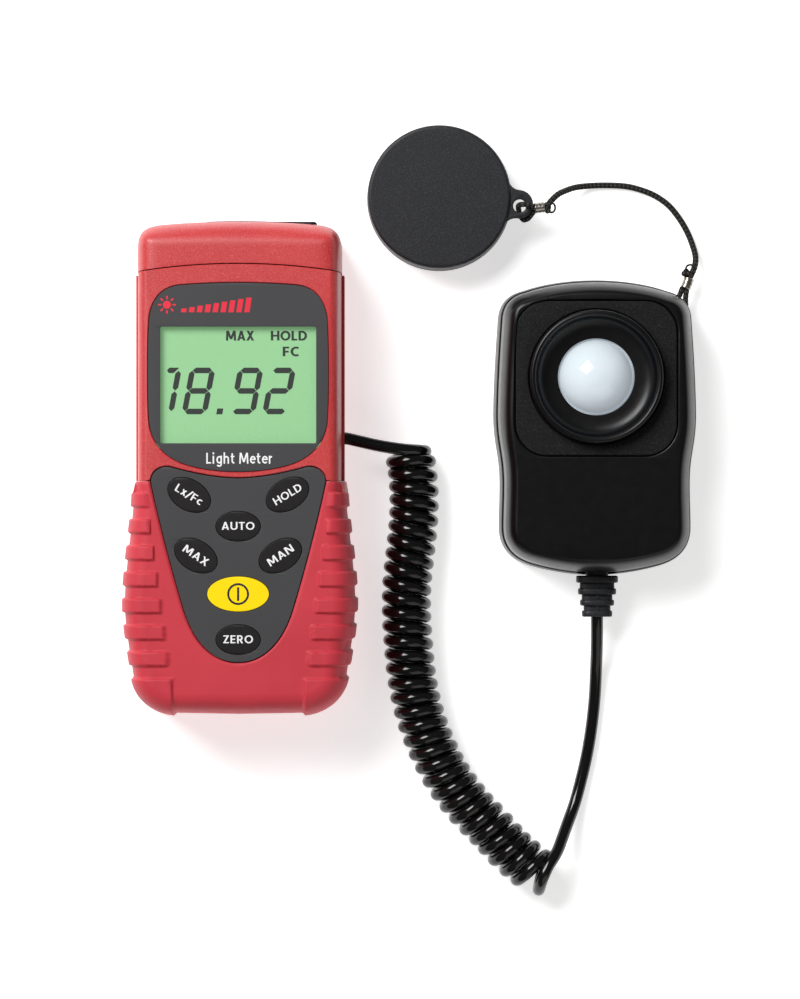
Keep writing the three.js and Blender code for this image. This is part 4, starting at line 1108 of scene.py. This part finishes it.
label("meter_title", "Light Meter", 0.3, 2.3, FACE_Z, 17.5, 3.85, print_white, "meter", weight=0.14)
SUN = (-18.9, 43.4)
shapes = [circle(*SUN, 1.05, 24)]
for k in range(8):
    ray = Matrix.Rotation(math.pi / 4 * k, 2)
    corners_2d = [(1.5, -0.22), (2.35, -0.22), (2.35, 0.22), (1.5, 0.22)]
    shapes.append([np.array(SUN) + np.array(ray @ Vector(p)) for p in corners_2d])
for k in range(9):
    x, rise = -15.2 + 2.1 * k, 1.0 + 0.36 * k
    shapes.append([(x, 41.4), (x + 1.4, 41.4), (x + 1.4 + 0.16 * rise, 41.4 + rise),
                   (x + 0.16 * rise, 41.4 + rise)])
printed("light_level_mark", [shapes], print_red, "meter", FACE_Z)

faceplate = Skin()
SHIELD = mirrored(SHIELD_LEFT)
plate(faceplate, inset(even_loop(SHIELD, 280), 0.3), 34.9, FACE_Z, [
    ellipse(x, y, a + 0.13, b + 0.13, turn) for x, y, a, b, turn in KEYS.values()
], edge=0.05)
stands_for(faceplate.piece("keypad_plate", panel_grey, "meter"), "panel_grey", "keypad_faceplate")

KEY_TOP = 36.7
KEY_RINGS = [(0.7, 33.5), (0.7, 34.55), (0, 34.6), (0, KEY_TOP - 0.14), (-0.05, KEY_TOP - 0.04),
             (-0.16, KEY_TOP)]
LABELS = {
    "units": ("Lx/Fc", 7.9, 2.5, -31), "hold": ("HOLD", 8.2, 2.1, 31), "auto": ("AUTO", 8.7, 2.1, 0),
    "max": ("MAX", 7.5, 2.1, -34), "man": ("MAN", 7.7, 2.1, 34), "zero": ("ZERO", 7.9, 2.15, 0),
}
for name, (x, y, a, b, turn) in KEYS.items():
    key = Skin()
    pin_low, pin_high = key.walls([at(circle(x, y, 1.5), 31.6), at(circle(x, y, 1.7), 31.8),
                                   at(circle(x, y, 1.7), 33.5)])
    low, high = key.walls([at(ellipse(x, y, a + d, b + d, turn), z) for d, z in KEY_RINGS])
    key.fill(pin_low)
    key.fill(low, pin_high)
    key.fill(high)
    look = key_yellow if name == "power" else key_black
    made = key.piece(f"key_top_{name}", look, f"key_{name}")
    stands_for(made, "key_yellow" if name == "power" else "key_black", f"key_{name}")
    if name == "power":
        stripe = [(x - 0.28, y - 1.8), (x + 0.28, y - 1.8), (x + 0.28, y + 1.8), (x - 0.28, y + 1.8)]
        printed("power_mark", [ring_shapes(x, y, 2.9, 0.55), [stripe]], print_navy, "key_power", KEY_TOP)
    else:
        text, width, height, tilt = LABELS[name]
        label(f"key_label_{name}", text, x, y + 0.1, KEY_TOP, width, height, print_white,
              f"key_{name}", tilt)

# ---- Sensor head --------------------------------------------------------------------------

SENSOR = np.array([95.6, 11.2])
DOME_CENTRE = SENSOR + (0, 13.4)
HEAD = even_loop(mirrored(outline(
    (0, 40), (-7, 40, -14, 39, -19.3, 37.1), (-23.3, 36.2, -25.6, 33.8, -26.1, 30),
    (-26.7, 22, -27.3, 12, -27.4, 4), (-27.5, -4, -25.8, -7, -25.7, -14),
    (-25.6, -18, -25.9, -23, -25.9, -27), (-25.9, -33, -22.3, -36.2, -17, -37.6),
    (-11.5, -39.1, -5.5, -40, 0, -40), count=20,
)), 280) + SENSOR

REAR_SHELL = smooth_profile([(0, 3), (0.3, 1.7), (1.2, 0.7), (2.4, 0.15), (3.6, 0), (5, 0.04),
                             (8.2, 0.3), (8.7, 0.45), (9, 0.8)], 0.3)
FRONT_SHELL = smooth_profile([
    (9.7, 0.75), (14, 0.95), (17, 1.25), (19, 1.75), (20.4, 2.2), (21.5, 2.7), (22.3, 3.25),
    (22.8, 3.8), (23, 4.4),
])
LEAN = 0.45


def leaning_wall(z, distance):
    """The head's outline at a height; its walls lean a little to the right as they rise."""
    return at(inset(HEAD, distance) + (LEAN * min(1, max(0, z - 3) / 6), 0), z)


PANEL = round_rect(SENSOR[0] - 21.6, SENSOR[0] + 21.6, SENSOR[1] - 7.7, SENSOR[1] + 33.7, 8.5, 12)
RELIEF_X = 96.27
RELIEF_Z = 8.5
HEAD_SCREWS = ((SENSOR[0] - 17, SENSOR[1] - 24), (SENSOR[0] + 17, SENSOR[1] - 24))

head_face = moulded("head_face", "080809", "060607", 0.5, 3.5, 0.03, 0.22, "35363A")
head_black = moulded("head_black", "08080A", "070708", 0.32, 1.5, 0.008, 0.3)

shell = Skin()
low, rim = shell.walls([leaning_wall(z, d) for z, d in REAR_SHELL])
floor_ring, hollow_rim = shell.walls([at(inset(HEAD, 4), 2), at(inset(HEAD, 2.8), 4),
                                      at(inset(HEAD, 2.6), 9)])
shell.fill(low, *screw_wells(shell, HEAD_SCREWS, [(3.2, 0), (3, 0.25), (3, WELL_FLOOR)]))
shell.fill(floor_ring)
shell.fill(rim, hollow_rim)
stands_for(shell.piece("head_rear", head_black, "sensor_head"), "black_plastic", "sensor_rear_shell")

shell = Skin()
foot, top = shell.walls([leaning_wall(9.3, 1.8)] + [leaning_wall(z, d) for z, d in FRONT_SHELL])
POCKET = inset(PANEL, -0.3)
lip, pocket_floor = shell.walls([at(inset(POCKET, -0.3), 23), at(inset(POCKET, -0.1), 22.9),
                                 at(POCKET, 22.7), at(POCKET, 20.6)])
bore = circle(*DOME_CENTRE, 17.6)
bore_top, bore_foot = shell.walls([at(bore, 20.6), at(bore, 19)])
ceiling, hollow_foot = shell.walls([at(inset(HEAD, 4.6), 19), at(inset(HEAD, 2.4), 14),
                                    at(inset(HEAD, 2.6), 9.3)])
shell.fill(top, lip)
shell.fill(pocket_floor, bore_top)
shell.fill(ceiling, bore_foot)
shell.fill(foot, hollow_foot)
stands_for(shell.piece("head_front", head_black, "sensor_head"), "black_plastic",
           "sensor_front_shell")

face = Skin()
plate(face, PANEL, 20.9, 22.5, [circle(*DOME_CENTRE, 18.3, 96)], edge=0.25)
stands_for(face.piece("head_panel", head_face, "sensor_head"), "black_plastic",
           "sensor_face_panel")

RING = [
    (10.3, 21.7), (10.6, 21.76), (11.8, 21.82), (13, 21.94), (13.9, 22.14), (14.6, 22.42),
    (15.2, 22.82), (15.65, 23.4), (15.9, 24.2), (16.05, 25.3), (16.2, 26.1), (16.4, 26.6),
    (16.75, 26.92), (17.15, 27), (17.55, 26.85), (17.8, 26.5), (17.9, 26), (17.9, 18.5),
    (19.6, 18.5), (19.6, 16.8), (12, 16.8), (12, 18.6), (10.3, 20.6),
]
ring = Skin()
turned(ring, *DOME_CENTRE, RING, 128)
stands_for(ring.piece("head_ring", head_black, "sensor_head", 50), "black_plastic", "sensor_ring")


def opal_look_with_painted_glow():
    nodes = Nodes("opal_dome")
    nodes.set(Roughness=0.1, Specular_IOR_Level=0.6, Subsurface_Weight=0.4)
    nodes.set(Subsurface_Radius=(1, 1, 1), Subsurface_Scale=0.004)
    # A painted glow: the diffuser is no lamp, and its bluish emission evens out its shading.
    nodes.set(Emission_Color=(0.8, 0.9, 1, 1), Emission_Strength=0.3)
    soft = nodes.noise(0.08, 2)
    tone = nodes.mix(nodes.ramp(soft, 0.35, 0.65), srgb("BFC9CC"), srgb("C6CDD0"))
    nodes.colour(tone)
    nodes.bump(nodes.noise(0.5, 2), 0.004)
    return nodes.material


opal_dome = opal_look_with_painted_glow()
DOME_RADIUS = 10.0
dome = Skin()
profile = [(11.4, 18.9), (11.4, 19.6), (DOME_RADIUS, 19.9)]
for k in range(1, 19):
    angle = 0.12 + (math.pi / 2 - 0.12) * (k / 19)
    profile.append((DOME_RADIUS * math.cos(angle), 19 + DOME_RADIUS * math.sin(angle)))
profile.append((0.12, 29))
pillar(dome, *DOME_CENTRE, profile, 96)
stands_for(dome.piece("dome_lens", opal_dome, "sensor_head", 60), "opal_dome", "diffuser_dome")


def oval(half_width, half_height, y, squareness=3.2, count=56):
    """A rounded rectangle across the cord's axis."""
    points = []
    for k in range(count):
        angle = 2 * math.pi * k / count
        c, s = math.cos(angle), math.sin(angle)
        x = half_width * math.copysign(abs(c) ** (2 / squareness), c)
        z = half_height * math.copysign(abs(s) ** (2 / squareness), s)
        points.append((RELIEF_X + x, y, RELIEF_Z + z))
    return np.array(points)


FLANGES = ((-28.9, -30.8, 5.65), (-32.3, -34, 5.15), (-35.4, -37, 4.6), (-38.3, -40, 4.1))
relief = Skin()
rings = [oval(3.0, 2.9, -27), oval(3.0, 2.9, FLANGES[0][0] - 0.02)]
for k, (top, foot, width) in enumerate(FLANGES):
    height = 3.7 - 0.33 * k
    rings += [oval(width - 0.35, height - 0.35, top), oval(width - 0.1, height - 0.1, top - 0.12),
              oval(width, height, top - 0.35), oval(width, height, foot + 0.35),
              oval(width - 0.1, height - 0.1, foot + 0.12), oval(width - 0.35, height - 0.35, foot)]
    if k < 3:
        waist = (width + FLANGES[k + 1][2]) / 2 - 0.72
        rings += [oval(waist, 2.1, foot, 4), oval(waist, 2.1, FLANGES[k + 1][0], 4)]
first, last = relief.walls(rings)
tunnel = circle(RELIEF_X, RELIEF_Z, 1.75, 56)
end, mouth = relief.walls([np.column_stack([tunnel[:, 0], np.full(56, y), tunnel[:, 1]]) for y in (-40, -27)])
relief.fill(last, end)
relief.fill(first, mouth)
for side in (1, -1):
    web = np.array([(RELIEF_X + 0.28, -38.5), (RELIEF_X + 0.28, -30.5), (RELIEF_X - 0.28, -30.5),
                    (RELIEF_X - 0.28, -38.5)])
    low, high = relief.walls([at(web, RELIEF_Z + side * 1.9), at(web, RELIEF_Z + side * 2.55)])
    relief.fill(low)
    relief.fill(high)
stands_for(relief.piece("cord_relief", black_textured, "sensor_head", 50), "black_rubber",
           "sensor_strain_relief")

# ---- Dome cap -----------------------------------------------------------------------------

CAP = np.array([53.6, 73.4])
CAP_HEIGHT = 13.0
TAB = np.array([75.05, 71.4])
TAB_RADIUS = 3.85
TAB_HOLE = np.array([75.25, 70.95])

cap = Skin()
under, hollow = cap.walls([at(circle(*CAP, r, 160), z) for r, z in (
    (18.15, 0), (18.1, 0.2), (18.1, 11))])
cap.fill(hollow)
wall = [(19.4, 0), (19.55, 0.12), (19.6, 0.4), (19.58, 2), (19.38, 11.6), (19.34, 12.1), (19.2, 12.5),
        (19.02, 12.78), (18.75, 12.94), (18.4, CAP_HEIGHT)]
rim, crown = cap.walls([at(circle(*CAP, r, 160), z) for r, z in wall])
cap.fill(under, rim)
cap.fill(crown)
away = TAB - CAP
away = away / np.linalg.norm(away)
side = np.array([-away[1], away[0]])
NECK = 0.29
neck_left = CAP + 19.3 * (math.cos(NECK) * away + math.sin(NECK) * side)
neck_right = CAP + 19.3 * (math.cos(NECK) * away - math.sin(NECK) * side)
arc = [TAB + TAB_RADIUS * (math.cos(a) * away + math.sin(a) * side)
       for a in np.linspace(-1.57, 1.57, 25)]


def swoop(start, pull, end, count=8):
    """A short curve for the fillet between the tab and the cap."""
    return [(1 - t) ** 2 * start + 2 * t * (1 - t) * pull + t * t * end
            for t in np.linspace(0, 1, count)]


tab_outline = np.array(
    [neck_right - 2.5 * away] + swoop(neck_right, arc[0] - 2.1 * away, arc[0])[:-1]
    + arc + swoop(arc[-1], arc[-1] - 2.1 * away, neck_left)[1:] + [neck_left - 2.5 * away]
)
plate(cap, tab_outline, 11.0, 12.35, [circle(*TAB_HOLE, 1.75, 40)], edge=0.35)
stands_for(cap.piece("cap_shell", black_textured, "dome_cap"), "black_plastic", "dome_cap")
# ---- Ferrules and knots -------------------------------------------------------------------


def metal(name, colour, tint, roughness, scratch=0.004):
    """Bare metal: faint long scratches, uneven polish and slight tarnish."""
    nodes = Nodes(name)
    nodes.set(Metallic=1.0)
    tarnish = nodes.noise(0.6, 3)
    nodes.colour(nodes.mix(nodes.ramp(tarnish, 0.4, 0.7), srgb(colour), srgb(tint)))
    uneven = nodes.noise(1.4, 3)
    nodes.rough(nodes.ramp(uneven, 0.3, 0.7, roughness - 0.06, roughness + 0.08))
    nodes.bump(nodes.noise(7, 2), scratch)
    return nodes.material


nickel = metal("nickel", "B8B2AA", "8A837A", 0.26)
screw_steel = metal("screw_steel", "9A9B9E", "77787B", 0.32)
switch_metal = metal("switch_metal", "C9CACC", "A7A8AA", 0.3)

FERRULE_RADIUS = 1.45
CAP_FERRULE = np.array([(79.35, 70.3, 11.7), (82, 70.65, 11.7)])
HEAD_FERRULE = np.array([(120.4, 48.95, 4.8), (121.4, 51.8, 4.8)])


def crimped(length):
    """Radius along a ferrule: rolled ends and two flat crimps across it."""

    def relief(along, angle):
        share = along / length
        ends = np.clip(np.minimum(share, 1 - share) / 0.07, 0, 1)
        dents = np.exp(-((share - 0.33) / 0.09) ** 2) + np.exp(-((share - 0.68) / 0.09) ** 2)
        flats = 0.5 + 0.5 * np.cos(2 * angle)
        return FERRULE_RADIUS - 0.16 * (1 - np.sqrt(ends)) - 0.09 * dents * flats

    return relief


for ferrule_name, ends, node, body in (
    ("ferrule_cap", CAP_FERRULE, "ferrule_cap_side", "dome_cap"),
    ("ferrule_head", HEAD_FERRULE, "ferrule_head_side", "sensor_head"),
):
    length = line_length(ends)
    sleeve = tube(ferrule_name, even_steps(ends, 0.08), crimped(length), nickel, body, sides=32)
    stands_for(sleeve, "nickel", node)


def knot_line(centre, size, turn):
    """A small three-lobed knot about a point, turned about the vertical."""
    spin = np.array(Matrix.Rotation(math.radians(turn), 3, "Z"))
    t = np.arange(72) * 2 * math.pi / 72
    lobes = np.stack([
        np.sin(t) + 2 * np.sin(2 * t), np.cos(t) - 2 * np.cos(2 * t), -1.2 * np.sin(3 * t),
    ], axis=1)
    return np.array(centre) + size / 3 * lobes @ spin.T


def thin_loop(centre, half_width, half_height, turn):
    flat = ellipse(*centre[:2], half_width, half_height, turn, 48)
    wave = centre[2] + 0.25 * np.sin(np.arange(48) * 2 * math.pi / 48)
    return np.column_stack([flat, wave])


STRAND_ENDS = {"dome_cap": ((81.6, 70.6, 11.7), (83, 71.4, 11.5)),
               "sensor_head": ((121.2, 51.3, 4.8), (122.1, 52.85, 4.75))}
for body, ends in STRAND_ENDS.items():
    strand = tube(
        f"lanyard_end_{body}", even_steps(np.array(ends), 0.14), braid, braid_black, body,
        sides=BRAID_SIDES,
    )

for knot_name, knot, loop_at, radii, body in (
    ("knot_cap", ((82.65, 70.2, 11.6), 0.85, 20), (83.9, 70.45, 11.8), (0.95, 1.25, 0), "dome_cap"),
    ("knot_head", ((120.5, 53.1, 5.2), 0.8, 50), (121.5, 54.4, 5.4), (1.05, 0.9, 25), "sensor_head"),
):
    made = tube(knot_name, knot_line(*knot), 0.5, braid_black, body, sides=12, closed=True)
    ring_name = knot_name.replace("knot", "tag_loop")
    made = tube(ring_name, thin_loop(loop_at, *radii), 0.27, braid_black, body, sides=10, closed=True)

# ---- End plate, gland and output jack -----------------------------------------------------


PLATE_LEFT = -9.0
PLATE_RIGHT = 20.6
PLATE_LOW = 8.0
PLATE_HIGH = 26.0
PLATE_FACE = 66.25
PLATE_DRAFT = 0.25
PLATE_CORNER = 1.6
cap_end = METER_LEFT[METER_LEFT[:, 1] > 60][::-1]


def bowed_slab(skin, grow, back, face, edge=0.25):
    """A slab across the Y axis whose outer face is at face(x), with round corners."""
    middle = (PLATE_LOW + PLATE_HIGH) / 2
    columns = []
    for x in np.linspace(PLATE_LEFT - grow, PLATE_RIGHT + grow, 75):
        from_end = min(x - PLATE_LEFT, PLATE_RIGHT - x) + grow
        short = max(0.0, PLATE_CORNER - from_end)
        drop = PLATE_CORNER - math.sqrt(PLATE_CORNER**2 - short**2)
        half = (PLATE_HIGH - PLATE_LOW) / 2 + grow - drop
        front = face(x) - max(0.0, edge - from_end)
        upper = front - PLATE_DRAFT
        section = [(back, -half), (front - edge, -half), (front - 0.3 * edge, 0.3 * edge - half),
                   (front, edge - half), (front, 0), (upper, half - edge),
                   (upper - 0.3 * edge, half - 0.3 * edge), (upper - edge, half), (back, half)]
        columns.append([(x, y, middle + z) for y, z in section])
    first, last = skin.walls(columns)
    skin.fill(first)
    skin.fill(last)


def plate_face(x):
    """The plate stands just proud of the end cap's rounded end."""
    return max(PLATE_FACE, 0.15 + np.interp(-abs(x), *cap_end.T))


end_plate = Skin()
bowed_slab(end_plate, 0, 59.8, plate_face)
bowed_slab(end_plate, 1.2, 58.8, lambda x: 60.2)
stands_for(end_plate.piece("end_plate_skin", black_textured, "meter"), "black_plastic", "end_plate")


def turned_across(skin, y, z, profile, count=64):
    """A shape turned about a line along X from a closed profile of (radius, x)."""
    rings = []
    for radius, x in profile:
        ring = circle(y, z, radius, count)
        rings.append(skin.loop(np.column_stack([np.full(count, x), ring])))
    for low, high in zip(rings, rings[1:] + rings[:1]):
        skin.wall(low, high)


GLAND = (8.25, 12)
JACK = (36.6, 12)
gland_profile = [(1.95, 23), (4.4, 23), (4.6, 23.2), (4.6, 24.7), (4.4, 24.9), (3.2, 24.9)]
for x in (25.5, 26.4, 27.3):
    gland_profile += [(3.2, x - 0.25), (2.85, x - 0.1), (2.85, x + 0.1), (3.2, x + 0.25)]
gland_profile += [(3.2, 27.75), (2.95, 28), (2.2, 28), (1.95, 27.7)]
gland = Skin()
turned_across(gland, *GLAND, gland_profile)
stands_for(gland.piece("gland_ring", black_textured, "meter", 30), "black_plastic", "cable_gland")

jack = Skin()
turned_across(jack, *JACK, [
    (0.05, 14), (2.8, 14), (3, 14.2), (3, 26.8), (2.8, 27), (1.6, 27), (1.3, 26.6), (1.3, 16), (0.05, 16),
])
stands_for(jack.piece("jack_barrel", black_plastic, "meter", 30), "black_plastic", "output_jack")
collar = Skin()
turned_across(collar, *JACK, [
    (3.3, 24), (4.6, 24), (4.8, 24.2), (4.8, 24.7), (4.6, 24.9), (3.6, 24.9), (3.6, 27.3),
    (3.45, 27.55), (3.3, 27.5),
])
stands_for(collar.piece("jack_nut", nickel, "meter", 30), "nickel", "jack_collar")

# ---- Battery door and screws --------------------------------------------------------------

door = Skin()
plate(door, round_rect(-14.7, 14.7, -58.7, -6.3, 1), 0.5, 2.9, edge=0.35)
for y in (-11, -14, -17):
    plate(door, round_rect(-5, 5, y - 0.5, y + 0.5, 0.48, 6), 0.1, 0.9, edge=0.3)
arrow = np.array([(0, -23.6), (2.4, -20.4), (-2.4, -20.4)])
plate(door, arrow, 0.2, 0.9, edge=0.15)
stands_for(door.piece("door_skin", red_case, "battery_door"), "red_case", "battery_door")


def cross(x, y, reach, half):
    """An anticlockwise outline of a cross recess."""
    arm = [(half, -reach), (half, -half), (reach, -half), (reach, half), (half, half), (half, reach),
           (-half, reach), (-half, half), (-reach, half), (-reach, -half), (-half, -half), (-half, -reach)]
    return np.array(arm, float) + (x, y)


def screw(name, x, y, base, head, shaft, tip, body):
    """A pan-headed screw whose head faces down, with a cross recess and a threaded shaft."""
    skin = Skin()
    low, seat = skin.walls([at(circle(x, y, head - d), base + rise) for rise, d in (
        (0, 0.9), (0.1, 0.45), (0.35, 0.15), (0.8, 0), (2, 0))])
    threads = []
    count = round((tip - base - 3.5) / 0.5)
    for k in range(count):
        threads += [(shaft, base + 2 + 0.5 * k), (shaft - 0.22, base + 2.25 + 0.5 * k)]
    threads += [(shaft, tip - 1.2), (0.2, tip)]
    neck, end = skin.walls([at(circle(x, y, radius), z) for radius, z in threads])
    mouth, bottom = skin.walls([at(cross(x, y, 1.7, 0.38), base),
                                at(cross(x, y, 1.275, 0.285), base + 1)])
    skin.fill(low, mouth)
    skin.fill(bottom)
    skin.fill(seat, neck)
    skin.fill(end)
    stands_for(skin.piece(f"{name}_skin", screw_steel, body, 30), "screw_steel", name)


for number, (x, y) in enumerate(UPPER_SCREWS + LOWER_SCREWS, 1):
    base = 0.6 if y > 0 else 2.4
    screw(f"case_screw_{number}", x, y, base, 2.65, 1.38, 24.3, "meter")
for number, (x, y) in enumerate(HEAD_SCREWS, 1):
    screw(f"sensor_screw_{number}", x, y, 0.8, 2.35, 1.18, 16.5, "sensor_head")

# ---- Looks of the parts inside ------------------------------------------------------------


def glass_look():
    nodes = Nodes("filter_glass")
    nodes.set(Roughness=0.05, Transmission_Weight=0.6, IOR=1.5)
    nodes.colour(nodes.mix(nodes.noise(0.4), srgb("6F93A8"), srgb("7A9DB0")))
    return nodes.material


def dressed(material, *nodes):
    for node in nodes:
        bpy.data.objects[node].data.materials[0] = material


dressed(battery_skin, "battery_9v")
dressed(black_plastic, "battery_snap", "lcd_frame", "photodiode")
dressed(panel_grey, "zebra_strip_lower", "zebra_strip_upper")
dressed(board_green, "main_board", "sensor_board")
dressed(switch_metal, *[f"switch_{name}" for name in KEYS])
dressed(glass_look(), "photopic_filter")


# ---- Floor --------------------------------------------------------------------------------

floor_mesh = bpy.data.meshes.new("floor")
reach = 6.0
floor_mesh.from_pydata(
    [(-reach, -reach, 0), (reach, -reach, 0), (reach, reach, 0), (-reach, reach, 0)],
    [], [(0, 1, 2, 3)],
)
floor = bpy.data.objects.new("floor", floor_mesh)
floor.location.z = -0.0002
scene.collection.objects.link(floor)
floor_look = Nodes("floor_look")
floor_look.set(
    Base_Color=(0.9, 0.9, 0.9, 1), Roughness=0.95, Specular_IOR_Level=0.1,
    Emission_Color=(1, 1, 1, 1), Emission_Strength=0.6,
)
floor_mesh.materials.append(floor_look.material)
